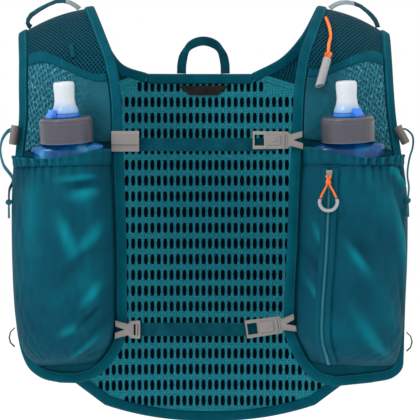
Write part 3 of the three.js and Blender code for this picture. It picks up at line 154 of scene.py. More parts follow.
class Surface:
    """place(u, v) gives points; normal points away from the wearer."""

    def __init__(self, place, outward):
        self.place = place
        self.sign = 1
        self.sign = float(np.sign(np.dot(self.plain(0.5, 0.5), outward)))
        self.normal = self.plain

    def plain(self, u, v, step=0.002):
        u, v = spread(u, v)
        along = self.place(np.clip(u + step, 0, 1), v) - self.place(np.clip(u - step, 0, 1), v)
        down = self.place(u, np.clip(v + step, 0, 1)) - self.place(u, np.clip(v - step, 0, 1))
        return unit(np.cross(along, down)) * self.sign

    def raised(self, u, v, height=0.0):
        return self.place(u, v) + self.normal(u, v) * np.asarray(height, float)[..., None]


def back_plane(x):
    return BACK_DEPTH - BACK_WRAP * np.abs(x / BACK_HALF_WIDTH) ** 2.4


def side_surface(edges, hand):
    table = np.asarray(edges)

    def curve_of(first):
        deep = table[:, first + 1]
        deep = np.where(deep > 0, deep * BACK_DEPTH, deep * FRONT_DEPTH)
        return Curve(np.stack([hand * table[:, first] * FRONT_HALF_WIDTH, deep,
                               -table[:, first + 2] * FRONT_DROP], 1))

    inner, outer = curve_of(0), curve_of(3)

    def place(u, v):
        u, v = spread(u, v)
        point = mix(inner(v), outer(v), u[..., None])
        fullness = smooth(v, 0, CREST) * (1 - smooth(v, row(10), row(13.8)))
        crown = FRONT_CROWN * np.sin(np.pi * u) * fullness
        rise = (1 - smooth(v, CREST / 2, row(5))) * crown
        y = point[..., 1] - np.where(v > CREST, crown - rise, 0)
        z = point[..., 2] + rise
        seam = 1 - smooth(v, 0, CREST / 2)
        y = mix(y, back_plane(point[..., 0]) - JOIN_GAP, seam)
        return np.stack([point[..., 0], y, z], -1)

    surface = Surface(place, (0, -1, 0))

    def normal(u, v):
        u, v = spread(u, v)
        middle = 0.8 * smooth(v, FOOT_TURN, row(13.5))
        return surface.plain(mix(u, 0.5, middle), np.minimum(v, FOOT_MIDDLE))

    surface.normal = normal
    surface.width = lambda v: np.linalg.norm(outer(v) - inner(v), axis=-1)
    surface.hand = hand
    return surface


left, right = side_surface(LEFT_EDGES, -1), side_surface(RIGHT_EDGES, 1)
back_curve = Curve(BACK_ROWS)


def neck_share(across):
    flat = np.where(across < 0, LEFT_EDGES[0][0], RIGHT_EDGES[0][0]) * FRONT_HALF_WIDTH
    edge = np.where(across < 0, LEFT_EDGES[0][3], RIGHT_EDGES[0][3]) * FRONT_HALF_WIDTH
    return np.clip((np.abs(across) - flat) / (edge - flat), 0, 1)


def back_place(u, v):
    u, v = spread(u, v)
    section = back_curve(v)
    side = 2 * u - 1
    x = side * section[..., 0] * BACK_HALF_WIDTH
    level = mix(section[..., 1], section[..., 2],
                mix(neck_share(x), np.abs(side) ** 2.2, smooth(v, NECK_BAND, 0.5)))
    return np.stack([x, back_plane(x), -NECK_DROP - level * (BACK_DROP - NECK_DROP)], -1)


back = Surface(back_place, (0, 1, 0))


def inset_share(side, end, v, inset):
    step = 0.004
    ahead = unit(side.place(end, np.clip(v + step, 0, 1)) - side.place(end, np.clip(v - step, 0, 1)))
    across = unit(side.place(1, v) - side.place(0, v))
    slant = np.maximum(np.linalg.norm(np.cross(ahead, across), axis=-1), 0.3)
    return inset / (side.width(v) * slant)


# Folds: place across and down as shares, length, width and rise in mm, turn in degrees.
LEFT_FOLDS = [
    [0.2, 0.18, 34, 7, 2.2, -58], [0.16, 0.3, 40, 6, -1.8, -50], [0.14, 0.45, 38, 6, 2, -42],
    [0.2, 0.6, 36, 7, -1.8, -38], [0.12, 0.7, 30, 6, 1.6, -35],
]
RIGHT_FOLDS = [
    [0.58, 0.16, 30, 7, 1.8, 48], [0.64, 0.3, 32, 7, -1.6, 42], [0.7, 0.5, 34, 8, 1.6, 36],
    [0.82, 0.22, 40, 8, -1.8, 30], [0.88, 0.42, 36, 7, 1.8, 26],
]


def fold_rise(folds, s, t, wide, high):
    total = np.zeros(np.broadcast(s, t).shape)
    for across, down, long, narrow, rise, turn in folds:
        dx, dz = (s - across) * wide, (t - down) * high
        a = math.radians(turn)
        along = dz * math.cos(a) + dx * math.sin(a)
        beside = dx * math.cos(a) - dz * math.sin(a)
        total = total + rise * np.exp(-((along / long) ** 2) - (beside / narrow) ** 2)
    return total


def pocket_surface(side, folds):
    inset = BINDING_WIDTH + JOIN_GAP + POCKET_CLOTH
    foot = PANEL_CLOTH / 2 + GAP + POCKET_CLOTH / 2
    wide = float(side.width(np.float64(row(9))))
    high = float(np.linalg.norm(side.place(0, CUFF_TOP) - side.place(0, POCKET_END)))

    def panel_share(s, t):
        v = mix(CUFF_TOP, POCKET_END, t)
        return mix(inset_share(side, 0, v, inset), 1 - inset_share(side, 1, v, inset), s)

    def place(s, t):
        s, t = spread(s, t)
        v = mix(CUFF_TOP, POCKET_END, t)
        across = np.sin(np.pi * np.clip(s, 0, 1)) ** 0.34
        full = across * (1 - np.clip(t, 0, 1) ** 5) ** 0.55
        rise = fold_rise(folds, s, t, wide, high)
        return side.raised(panel_share(s, t), v, foot + POCKET_BULGE * full + rise * smooth(full, 0.3, 0.8))

    surface = Surface(place, (0, -1, 0))
    surface.wide, surface.high = wide, high
    return surface


# Materials
class Shader:
    """A Principled material with short calls for its nodes."""

    def __init__(self, name, **inputs):
        self.material = bpy.data.materials.new(name)
        self.material.use_nodes = True
        self.tree = self.material.node_tree
        self.bsdf = self.tree.nodes["Principled BSDF"]
        for key, value in inputs.items():
            self.bsdf.inputs[key.replace("_", " ").title().replace("Ior", "IOR")].default_value = value

    def node(self, kind, **values):
        made = self.tree.nodes.new(kind)
        for key, value in values.items():
            if hasattr(made, key):
                setattr(made, key, value)
            else:
                made.inputs[key.replace("_", " ")].default_value = value
        return made

    def link(self, a, b):
        self.tree.links.new(a, b)
        return a

    def math(self, operation, a, b=0.0, c=0.0):
        made = self.node("ShaderNodeMath", operation=operation)
        for k, value in enumerate((a, b, c)):
            if hasattr(value, "links"):
                self.link(value, made.inputs[k])
            else:
                made.inputs[k].default_value = value
        return made.outputs[0]

    def times(self, a, b):
        return self.math("MULTIPLY", a, b)

    def plus(self, a, b):
        return self.math("ADD", a, b)

    def uv(self, scale_x=1.0, scale_y=1.0, turn=0.0):
        mapping = self.node("ShaderNodeMapping", Scale=(scale_x, scale_y, 1), Rotation=(0, 0, turn))
        self.link(self.node("ShaderNodeUVMap").outputs[0], mapping.inputs[0])
        return mapping.outputs[0]

    def place(self):
        return self.node("ShaderNodeTexCoord").outputs["Object"]

    def parts(self, vector):
        made = self.node("ShaderNodeSeparateXYZ")
        self.link(vector, made.inputs[0])
        return made.outputs

    def texture(self, kind, vector, output="Fac", **values):
        made = self.node(kind, **values)
        self.link(vector, made.inputs["Vector"])
        return made.outputs[output]

    def noise(self, vector, scale, detail=3.0, roughness=0.5):
        return self.texture("ShaderNodeTexNoise", vector, Scale=scale, Detail=detail, Roughness=roughness)

    def wave(self, vector, scale, distortion=0.0, direction="X"):
        return self.texture("ShaderNodeTexWave", vector, bands_direction=direction, Scale=scale,
                            Distortion=distortion)

    def cells(self, vector, randomness=0.0):
        """Distance from the centre of the nearest of cells one unit wide."""
        return self.texture("ShaderNodeTexVoronoi", vector, "Distance", Scale=1.0, Randomness=randomness)

    def mask(self, value, low, high):
        return self.ramp(value, [(low, (0, 0, 0)), (high, (1, 1, 1))])

    def ramp(self, value, stops):
        made = self.node("ShaderNodeValToRGB")
        elements = made.color_ramp.elements
        while len(elements) < len(stops):
            elements.new(0.5)
        for element, (place, colour) in zip(elements, stops):
            element.position = place
            element.color = (*colour, 1)
        self.link(value, made.inputs[0])
        return made.outputs[0]

    def mixed(self, share, a, b):
        made = self.node("ShaderNodeMix", data_type="RGBA")
        for socket, value in ((made.inputs[0], share), (made.inputs[6], a), (made.inputs[7], b)):
            if hasattr(value, "links"):
                self.link(value, socket)
            else:
                socket.default_value = value if isinstance(value, float) else (*value, 1)
        return made.outputs[2]

    def colour(self, output):
        self.link(output, self.bsdf.inputs["Base Color"])

    def rough(self, value, low, high):
        made = self.node("ShaderNodeMapRange", To_Min=low, To_Max=high)
        self.link(value, made.inputs["Value"])
        self.link(made.outputs[0], self.bsdf.inputs["Roughness"])

    def bump(self, height, depth):
        """Relief with a depth in millimetres."""
        made = self.node("ShaderNodeBump", Distance=depth * MM)
        self.link(height, made.inputs["Height"])
        self.link(made.outputs[0], self.bsdf.inputs["Normal"])

def rgb(r, g, b):
    """Linear values for a colour given from 0 to 255."""
    return tuple(((c / 255) / 12.92 if c / 255 <= 0.04045 else ((c / 255 + 0.055) / 1.055) ** 2.4)
                 for c in (r, g, b))


def stretch_cloth():
    # Smooth tightly woven stretch cloth: fine diagonal weave, soft sheen and slight wear in tone.
    s = Shader("stretch_cloth", roughness=0.62, sheen_weight=0.03, sheen_roughness=0.4,
               sheen_tint=(*rgb(20, 150, 170), 1), specular_ior_level=0.06)
    weave = s.wave(s.uv(1, 1, math.radians(38)), 0.95, 0.4)
    cross = s.wave(s.uv(1, 1, math.radians(-52)), 0.95, 0.4)
    cloud = s.noise(s.place(), 26, 4)
    tone = s.ramp(cloud, [(0.3, rgb(0, 60, 78)), (0.55, rgb(0, 70, 87)), (0.75, rgb(0, 82, 98))])
    # Painted highlight: the colour turns paler where both diagonal weaves rise.
    woven = s.mixed(s.times(s.times(weave, cross), 0.16), tone, rgb(4, 104, 122))
    # Painted highlight on the crests of folds and painted shade in their valleys and hollows, read from a
    # stored point attribute.
    fold = s.node("ShaderNodeAttribute", attribute_name="painted_fold_shading").outputs["Fac"]
    crest = s.times(s.math("MAXIMUM", fold, 0.0), 0.75)
    valley = s.times(s.math("MAXIMUM", s.times(fold, -1.0), 0.0), 0.75)
    s.colour(s.mixed(valley, s.mixed(crest, woven, rgb(0, 132, 148)), rgb(0, 46, 62)))
    s.rough(cloud, 0.52, 0.7)
    s.bump(s.plus(s.times(s.plus(weave, cross), 0.35),
                  s.times(s.noise(s.place(), 150, 2), 0.8)), 0.12)
    return s.material


def tape_cloth(name, colour, light):
    # Folded elastic tape: ribs across its length, a line of stitches near the open edge.
    s = Shader(name, roughness=0.72, specular_ior_level=0.05)
    ribs = s.wave(s.uv(), 0.62, 0.25, "Y")
    fine = s.wave(s.uv(), 1.3, 0.3, "X")
    cloud = s.noise(s.place(), 60, 3)
    tone = s.ramp(cloud, [(0.3, colour), (0.7, light)])
    place = s.parts(s.uv())
    beside = s.math("ABSOLUTE", s.math("SUBTRACT", place[0], 2.2))
    along = s.math("FRACT", s.times(place[1], 0.36))
    stitch = s.times(s.math("LESS_THAN", beside, 0.32), s.math("LESS_THAN", along, 0.68))
    # Painted shade: the grooves between the ribs are darkened.
    ribbed = s.mixed(s.times(ribs, 0.25), tone, tuple(0.35 * c for c in colour))
    s.colour(s.mixed(s.times(stitch, 0.55), ribbed, rgb(46, 142, 158)))
    s.rough(ribs, 0.6, 0.8)
    relief = s.plus(s.times(ribs, -0.7), s.times(fine, 0.3))
    s.bump(s.plus(relief, s.times(stitch, 1.6)), 0.16)
    return s.material


def strap_mesh():
    # Fine mesh: rows of small holes set diagonally between knitted threads; the holes' near-black is painted
    # shade and the palest teal on the threads is painted glints.
    s = Shader("strap_mesh", roughness=0.6, specular_ior_level=0.05)
    grid = s.cells(s.uv(0.36, 0.3, math.radians(32)))
    hole = s.mask(grid, 0.27, 0.41)
    knit = s.wave(s.uv(1, 1, math.radians(12)), 0.55, 2.2)
    spark = s.noise(s.uv(), 0.9, 4, 0.7)
    tone = s.ramp(spark, [(0.35, rgb(0, 56, 72)), (0.58, rgb(0, 80, 98)), (0.74, rgb(14, 118, 136))])
    s.colour(s.mixed(hole, rgb(0, 10, 20), tone))
    s.rough(spark, 0.65, 0.4)
    s.bump(s.plus(hole, s.times(knit, 0.4)), 0.45)
    return s.material


def glitter_mesh():
    # Stretch mesh of the pockets on the straps: slanting threads over a dark ground, with painted glints in
    # pale cyan on the threads.
    s = Shader("glitter_mesh", roughness=0.42, sheen_weight=0.06, sheen_roughness=0.4,
               specular_ior_level=0.15)
    grid = s.cells(s.uv(0.30, 0.19, math.radians(24)), 0.25)
    hole = s.mask(grid, 0.26, 0.42)
    spark = s.noise(s.uv(0.9, 0.34, 0.3), 0.9, 4, 0.75)
    tone = s.ramp(spark, [(0.4, rgb(0, 74, 90)), (0.56, rgb(14, 108, 126)), (0.68, rgb(120, 205, 218))])
    across = s.math("ABSOLUTE", s.parts(s.place())[0])
    reach = s.times(s.math("SUBTRACT", across, 0.119), 60)
    outer = s.mask(s.plus(reach, s.times(s.noise(s.place(), 40, 3), 0.4)), 0.15, 0.9)
    smooth_cloth = s.ramp(s.noise(s.place(), 30, 3), [(0.3, rgb(0, 68, 84)), (0.7, rgb(0, 86, 102))])
    s.colour(s.mixed(outer, smooth_cloth, s.mixed(hole, rgb(0, 56, 72), tone)))
    s.rough(spark, 0.7, 0.4)
    relief = s.plus(hole, s.times(spark, 0.6))
    s.bump(s.times(relief, outer), 0.5)
    return s.material


def back_mesh():
    # The back's knitted face: fine ribs with bright glints, denser between the rows of holes.
    s = Shader("back_mesh", roughness=0.5, specular_ior_level=0.1)
    knit = s.wave(s.uv(), 0.75, 1.2, "X")
    rows = s.wave(s.uv(), 0.5, 1.6, "Y")
    spark = s.noise(s.uv(1.2, 0.5), 0.9, 4, 0.7)
    cloud = s.noise(s.place(), 14, 3)
    tone = s.ramp(spark, [(0.36, rgb(10, 128, 148)), (0.54, rgb(40, 164, 182)), (0.7, rgb(110, 212, 222))])
    dashes = s.times(s.math("GREATER_THAN", s.wave(s.uv(), 0.1, 0.6, "X"), 0.62),
                    s.math("GREATER_THAN", s.wave(s.uv(), 0.13, 0.8, "Y"), 0.55))
    knitted = s.mixed(s.times(dashes, 0.6), tone, rgb(2, 52, 76))
    s.colour(s.mixed(s.times(cloud, 0.3), knitted, rgb(6, 112, 134)))
    s.rough(spark, 0.6, 0.32)
    s.bump(s.plus(knit, s.times(rows, 0.6)), 0.3)
    return s.material


def backing_cloth():
    # The lining under the back's holes; its near-black colour is painted shade inside the holes.
    s = Shader("backing_cloth", roughness=0.9, specular_ior_level=0.04)
    cloud = s.noise(s.uv(), 0.6, 3)
    s.colour(s.ramp(cloud, [(0.3, rgb(0, 6, 14)), (0.7, rgb(0, 16, 26))]))
    s.bump(cloud, 0.2)
    return s.material


def woven_webbing(name, colour, light, pitch=0.45, neck=None):
    s = Shader(name, roughness=0.68, specular_ior_level=0.06)
    along = s.wave(s.uv(), pitch, 0.3, "X")
    over = s.wave(s.uv(), pitch * 1.35, 0.3, "Y")
    check = s.times(along, over)
    cloud = s.noise(s.place(), 90, 3)
    tone = s.ramp(cloud, [(0.3, colour), (0.7, light)])
    # Painted highlight: the raised crossings of the weave are paler.
    woven = s.mixed(s.times(check, 0.35), tone, light)
    if neck is not None:
        # The half of a shoulder loop nearer the neck is reflective silver.
        near = s.math("LESS_THAN", s.math("ABSOLUTE", s.parts(s.place())[0]), neck)
        woven = s.mixed(near, woven, s.ramp(cloud, [(0.3, rgb(128, 142, 146)), (0.7, rgb(166, 178, 182))]))
    s.colour(woven)
    s.rough(check, 0.78, 0.55)
    s.bump(s.plus(along, over), 0.3)
    return s.material


def braid(name, colour, light, pitch=1.0):
    # Round cord: two diagonal sets of strands.
    s = Shader(name, roughness=0.6, specular_ior_level=0.2)
    one = s.wave(s.uv(1, 1, math.radians(45)), pitch, 0.2)
    two = s.wave(s.uv(1, 1, math.radians(-45)), pitch, 0.2)
    strands = s.math("MAXIMUM", one, two)
    cloud = s.noise(s.place(), 500, 3)
    # Painted highlight on the raised strands, varied at random along the cord.
    tone = s.ramp(s.times(strands, s.plus(cloud, 0.5)), [(0.3, colour), (0.8, light)])
    s.colour(tone)
    s.bump(strands, 0.3)
    return s.material


def moulded(name, colour, edge_colour, rough=(0.38, 0.52), grain=0.05, coat=0.0):
    # Moulded plastic: fine grain, slight unevenness of gloss, paler along the edges.
    s = Shader(name, coat_weight=coat, coat_roughness=0.15, specular_ior_level=0.5)
    cloud = s.noise(s.place(), 70, 4)
    fine = s.noise(s.place(), 900, 3)
    edges = s.node("ShaderNodeNewGeometry").outputs["Pointiness"]
    edge = s.mask(edges, 0.5, 0.58)
    tone = s.ramp(cloud, [(0.3, colour), (0.75, tuple(c * 1.12 for c in colour))])
    # Paler along convex edges, found from the mesh's pointiness.
    s.colour(s.mixed(s.times(edge, 0.5), tone, edge_colour))
    s.rough(cloud, *rough)
    s.bump(s.plus(fine, s.times(cloud, 0.5)), grain)
    return s.material


def flask_film():
    # Soft translucent film, deep blue with streaks of lighter blue; the palest streaks are painted
    # reflections.
    s = Shader("flask_film", transmission_weight=0.1, ior=1.45, coat_weight=0.25, coat_roughness=0.12,
               specular_ior_level=0.2)
    cloud = s.noise(s.place(), 38, 3)
    s.colour(s.ramp(cloud, [(0.3, rgb(0, 40, 92)), (0.5, rgb(0, 70, 132)), (0.66, rgb(10, 116, 180)),
                            (0.78, rgb(120, 184, 216))]))
    s.rough(cloud, 0.14, 0.3)
    s.bump(s.noise(s.place(), 60, 2), 0.35)
    return s.material


def silicone():
    s = Shader("valve_silicone", transmission_weight=0.25, ior=1.42, coat_weight=0.3, coat_roughness=0.2,
               subsurface_weight=0.35, subsurface_radius=(0.004, 0.004, 0.005), subsurface_scale=1.0)
    height = s.parts(s.place())[2]
    blue = s.ramp(s.times(s.plus(height, 0.0955), 42.0),
                  [(0.0, rgb(110, 175, 245)), (0.3, rgb(165, 200, 240)), (0.55, rgb(226, 232, 236))])
    cloud = s.noise(s.place(), 60, 3)
    s.colour(s.mixed(s.times(cloud, 0.3), blue, rgb(204, 214, 222)))
    s.rough(cloud, 0.22, 0.36)
    s.bump(cloud, 0.1)
    return s.material


cloth_teal = stretch_cloth()
tape_teal = tape_cloth("binding_tape", rgb(0, 74, 91), rgb(0, 88, 105))
mesh_strap = strap_mesh()
mesh_glitter = glitter_mesh()
mesh_back = back_mesh()
dark_backing = backing_cloth()
webbing_teal = woven_webbing("webbing", rgb(2, 64, 80), rgb(6, 86, 102))
webbing_loop = woven_webbing("loop_webbing", rgb(2, 64, 80), rgb(6, 86, 102), neck=0.137)
label_black = woven_webbing("label_cloth", rgb(40, 36, 35), rgb(62, 57, 54), 1.6)
elastic_teal = braid("elastic_cord", rgb(2, 70, 86), rgb(14, 108, 124), 0.5)
braid_orange = braid("accent_cord", rgb(205, 62, 10), rgb(255, 132, 62), 0.42)
grey_plastic = moulded("grey_plastic", rgb(112, 108, 105), rgb(140, 136, 132))
barrel_plastic = moulded("barrel_plastic", rgb(92, 88, 84), rgb(132, 128, 124))
tube_plastic = moulded("tube_plastic", rgb(134, 134, 138), rgb(170, 170, 174))
coil_plastic = moulded("coil_plastic", rgb(4, 98, 116), rgb(24, 132, 148), (0.3, 0.42))
cap_plastic = moulded("cap_plastic", rgb(58, 57, 68), rgb(104, 102, 114), (0.3, 0.44), coat=0.2)
lever_plastic = moulded("lever_plastic", rgb(0, 100, 215), rgb(60, 160, 240), (0.2, 0.3), coat=0.4)
film_blue = flask_film()
valve_clear = silicone()


# Mesh building
def new_object(name, verts, faces, material, uvs=None):
    """A smooth mesh from points in millimetres, with one UV for each point."""
    mesh = bpy.data.meshes.new(name)
    mesh.from_pydata((np.asarray(verts, float) * MM).tolist(), [], [list(map(int, f)) for f in faces])
    if uvs is not None:
        layer = mesh.uv_layers.new(name="UVMap")
        index = np.empty(len(mesh.loops), int)
        mesh.loops.foreach_get("vertex_index", index)
        layer.data.foreach_set("uv", np.asarray(uvs, float)[index].ravel())
    mesh.polygons.foreach_set("use_smooth", [True] * len(mesh.polygons))
    mesh.materials.append(material)
    mesh.validate()
    return linked(name, mesh)

def from_bmesh(name, bm, material, sharp):
    """A smooth object from a finished bmesh; creases above the angle stay sharp."""
    mesh = bpy.data.meshes.new(name)
    bm.to_mesh(mesh)
    bm.free()
    mesh.polygons.foreach_set("use_smooth", [True] * len(mesh.polygons))
    mesh.set_sharp_from_angle(angle=math.radians(sharp))
    mesh.materials.append(material)
    return linked(name, mesh)

def settled(obj, merge=0.0, sharp=None):
    """Merges points that fall together and turns all faces outwards."""
    bm = bmesh.new()
    bm.from_mesh(obj.data)
    if merge:
        bmesh.ops.remove_doubles(bm, verts=bm.verts, dist=merge)
    bmesh.ops.recalc_face_normals(bm, faces=bm.faces)
    bm.to_mesh(obj.data)
    bm.free()
    if sharp:
        obj.data.set_sharp_from_angle(angle=math.radians(sharp))
    return obj

def finished(obj, node=None, body="vest"):
    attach(obj, body)
    if node:
        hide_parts(node)
    return obj

def ring_quads(rings, around, closed=True):
    """Quads along rings of points; closed also joins the last ring to the first."""
    a, b = np.meshgrid(np.arange(rings if closed else rings - 1), np.arange(around), indexing="ij")
    beside, ahead = (b + 1) % around, (a + 1) % rings * around
    return np.stack([a * around + b, a * around + beside, ahead + beside, ahead + b], -1).reshape(-1, 4)

def grid_faces(rows, columns, start=0, flip=False):
    r, c = np.meshgrid(np.arange(rows - 1), np.arange(columns - 1), indexing="ij")
    a = start + (r * columns + c).ravel()
    quads = np.stack([a, a + 1, a + columns + 1, a + columns], 1)
    return quads[:, ::-1] if flip else quads


def cloth(name, points, normals, thickness, material, uvs):
    """A cloth of one thickness from a grid of middle points, closed round its rim."""
    rows, columns = points.shape[:2]
    half = np.broadcast_to(np.asarray(thickness, float) / 2, (rows, columns))[..., None]
    front = (points + normals * half).reshape(-1, 3)
    rear = (points - normals * half).reshape(-1, 3)
    count = rows * columns
    faces = [grid_faces(rows, columns), grid_faces(rows, columns, count, True)]
    rim = np.concatenate([np.arange(columns - 1), np.arange(rows - 1) * columns + columns - 1,
                          count - 1 - np.arange(columns - 1), (rows - 1 - np.arange(rows - 1)) * columns])
    nxt = np.roll(rim, -1)
    faces.append(np.stack([rim, rim + count, nxt + count, nxt], 1))
    return settled(new_object(name, np.vstack([front, rear]), np.vstack(faces), material,
                              np.vstack([uvs.reshape(-1, 2)] * 2)))

def length_uvs(points):
    """Lengths across and down a grid, in millimetres, measured from its middle column."""
    across = np.linalg.norm(np.diff(points, axis=1), axis=-1)
    x = np.concatenate([np.zeros((points.shape[0], 1)), np.cumsum(across, 1)], 1)
    x = x - x[:, [points.shape[1] // 2]]
    y = run(points[:, points.shape[1] // 2])
    return np.stack([x, np.repeat(-y[:, None], points.shape[1], 1)], -1)


def frames_of(path, out):
    ahead = unit(np.concatenate([path[1:2] - path[:1], path[2:] - path[:-2], path[-1:] - path[-2:-1]]))
    out = unit(out - ahead * (out * ahead).sum(-1, keepdims=True))
    return np.cross(ahead, out), out


def sweep(name, path, side, out, section, material, sharp=None):
    """A section of [sideways, outwards] points along a path, with UVs in millimetres."""
    section = np.asarray(section, float)
    points = path[:, None] + side[:, None] * section[None, :, :1] + out[:, None] * section[None, :, 1:]
    n, count = len(path), len(section)
    faces = ring_quads(n, count, False).tolist()
    faces += [list(range(count)), list(range(n * count - 1, (n - 1) * count - 1, -1))]
    uvs = np.stack(np.meshgrid(run(section), run(path)), -1).reshape(-1, 2)
    return settled(new_object(name, points.reshape(-1, 3), faces, material, uvs), sharp=sharp)

def dense(points, steps):
    return Curve(points)(np.linspace(0, 1, steps))

def cord_curve(name, points, diameter, material, node=None):
    """A round cord as one spline, which hides its CAD part when a node is given."""
    points = np.asarray(points, float)
    data = bpy.data.curves.new(name, "CURVE")
    data.dimensions = "3D"
    data.bevel_depth = diameter / 2 * MM
    data.bevel_resolution = 5
    data.use_fill_caps = True
    spline = data.splines.new("POLY")
    spline.points.add(len(points) - 1)
    spline.points.foreach_set("co", np.hstack([points * MM, np.ones((len(points), 1))]).ravel())
    data.materials.append(material)
    obj = finished(linked(name, data), node)
    return obj

def knot(name, centre, radius, material, ahead=(0, 0, -1)):
    """A small tied knot: three crossing turns of cord pulled tight."""
    t = np.linspace(0, 2 * np.pi, 72, endpoint=False)
    ahead = unit(np.asarray(ahead, float))
    side = unit(np.cross(ahead, (0.2, 1, 0.1)))
    third = np.cross(ahead, side)
    r = radius * 0.52
    local = np.stack([(np.sin(t) + 2 * np.sin(2 * t)) / 3, (np.cos(t) - 2 * np.cos(2 * t)) / 3,
                      -np.sin(3 * t) * 0.55], 1) * radius * 0.62
    path = centre + local[:, :1] * side + local[:, 1:2] * third + local[:, 2:] * ahead
    tangent = unit(np.roll(path, -1, 0) - np.roll(path, 1, 0))
    out = unit(path - centre + 1e-6)
    out = unit(out - tangent * (out * tangent).sum(-1, keepdims=True))
    across = np.cross(tangent, out)
    angles = np.linspace(0, 2 * np.pi, 10, endpoint=False)
    rings = (path[:, None] + out[:, None] * np.cos(angles)[None, :, None] * r
             + across[:, None] * np.sin(angles)[None, :, None] * r)
    n, m = len(path), len(angles)
    uvs = np.stack(np.meshgrid(np.arange(m) * 0.6, np.arange(n) * 0.4), -1).reshape(-1, 2)
    return finished(new_object(name, rings.reshape(-1, 3), ring_quads(n, m), material, uvs))

def turned_about_y(points, degrees):
    a = math.radians(degrees)
    points = np.asarray(points, float)
    return np.stack([points[:, 0] * math.cos(a) + points[:, 2] * math.sin(a), points[:, 1],
                     -points[:, 0] * math.sin(a) + points[:, 2] * math.cos(a)], 1)


left_pocket, right_pocket = pocket_surface(left, LEFT_FOLDS), pocket_surface(right, RIGHT_FOLDS)

# Cords
ELASTIC, BORE_UP, LOCK_RADIUS, LOCK_RISE, CORD_REACH, CORD_RISE, TAIL = 1.8, 3.78, 4, 8.42, 60, 3.1, 9
CORD_ROUTES = {
    "left": (left, left_pocket, 8, [[0.19, 0.12, 0.02], [0.22, 0.3, 0.04], [0.17, 0.52, 0.1]],
             [[0.99, 0.112], [0.955, 0.16], [0.94, 0.194]], (-1.008, 1.008)),
    "right": (right, right_pocket, -27, [[0.19, 0.06, 0.02], [0.2, 0.22, 0.06], [0.14, 0.42, 0.14]],
              [[0.97, 0.1], [0.93, 0.15], [0.89, 0.19]], (0,)),
}
for which, (side, pocket, lean, swing, landing, strands) in CORD_ROUTES.items():
    centre = side.raised(1.0, row(6.55), LOCK_RISE)
    bore = centre + turned_about_y([[0, 0, BORE_UP]], lean)[0]
    start = bore + turned_about_y([[side.hand * k * LOCK_RADIUS, 0, 0] for k in (-1.15, 0, 1.25)], lean)
    air = bore + np.array([[side.hand * o, -a, -d] for o, d, a in swing]) * CORD_REACH
    land = np.array([pocket.raised(s, t, CORD_RISE) for s, t in landing])
    for k, shift in enumerate(strands):
        route = dense(np.vstack([start, air, land]) + np.array([0, 0, shift]), 60)
        knots = [knot(f"elastic_knot_{which}", land[-1], 2.8, elastic_teal)] if k == 0 else []
        cord_curve(f"elastic_strand_{which}_{k}", route, ELASTIC, elastic_teal,
                   f"elastic_cord_{which}" if k == 0 else None)
    across, down = landing[-1]
    for share in (-1, 1):
        tail = [pocket.raised(across + share * 0.016 * w, down + w * TAIL / pocket.high, CORD_RISE)
                for w in np.linspace(0.1, 1, 8)]
        cord_curve(f"elastic_tail_{which}_{share + 1}", tail, ELASTIC, elastic_teal)

WHISTLE_ROUTE = [(0.14, 3.55, 0.1), (0.21, 3.75, 0), (0.25, 4, 0), (0.25, 4.4, 0.3), (0.26, 4.86, 0.8)]
whistle_points = np.array([right.raised(u, row(r), mix(3.4, 10.75, h)) for u, r, h in WHISTLE_ROUTE])
whistle_knot = knot("whistle_knot", whistle_points[-1], 3.6, braid_orange)
cord_curve("whistle_braid", dense(whistle_points, 40), 3, braid_orange, "whistle_cord")


# Bevelled solids
def rounded_copy(node, material, body="vest", bevel=0.35, segments=2, angle=30, subdivide=0):
    """The solid of a node with its hard edges rounded and a fine finish."""
    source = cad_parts[node]
    bm = bmesh.new()
    bm.from_mesh(source.data)
    bmesh.ops.transform(bm, matrix=source.matrix_world, verts=bm.verts)
    bmesh.ops.remove_doubles(bm, verts=bm.verts, dist=2e-6)
    bmesh.ops.dissolve_limit(bm, angle_limit=math.radians(1.5), verts=bm.verts, edges=bm.edges)
    bmesh.ops.recalc_face_normals(bm, faces=bm.faces)
    if bevel:
        edges = [e for e in bm.edges if len(e.link_faces) == 2 and e.calc_face_angle(0) > math.radians(angle)]
        bmesh.ops.bevel(bm, geom=edges, offset=bevel * MM, offset_type="OFFSET", segments=segments,
                        profile=0.6, affect="EDGES", clamp_overlap=True)
    layer = bm.loops.layers.uv.new("UVMap")
    for face in bm.faces:
        for loop in face.loops:
            p = loop.vert.co
            loop[layer].uv = ((p.x + 0.55 * p.y) / MM, (p.z - 0.35 * p.y) / MM)
    obj = from_bmesh(f"{node}_finish", bm, material, 42)
    if subdivide:
        obj.modifiers.new("Subdivision", "SUBSURF").levels = subdivide
        obj.modifiers[-1].render_levels = subdivide
    return finished(obj, node, body)


SIDES = {"left": (left, left_pocket), "right": (right, right_pocket)}
for node in ("upper_clasp", "lower_clasp", "lower_hook", "strap_keeper", "zip_slider"):
    rounded_copy(node, grey_plastic, bevel=0.5 if node != "zip_slider" else 0.25, segments=3)
rounded_copy("whistle", tube_plastic, bevel=0.4, segments=3, angle=40)
rounded_copy("zip_pull_grip", tube_plastic, bevel=0)
rounded_copy("zip_pull_cord", braid_orange, bevel=0)
rounded_copy("neck_label", label_black, bevel=0.2)
rounded_copy("strap_tab", webbing_teal, bevel=0.2)
for node in ("upper_strap", "lower_strap"):
    rounded_copy(node, webbing_teal, bevel=0.45, segments=3)
for which in SIDES:
    rounded_copy(f"barrel_lock_{which}", barrel_plastic, bevel=0.5, segments=3)
    rounded_copy(f"valve_lever_{which}", lever_plastic, f"lever_{which}", 0.45, 3)
    rounded_copy(f"shoulder_loop_{which}", webbing_loop, bevel=0.3)
    rounded_copy(f"side_loop_{which}", webbing_teal, bevel=0.3)
    rounded_copy(f"flask_{which}", film_blue, bevel=0, subdivide=1)


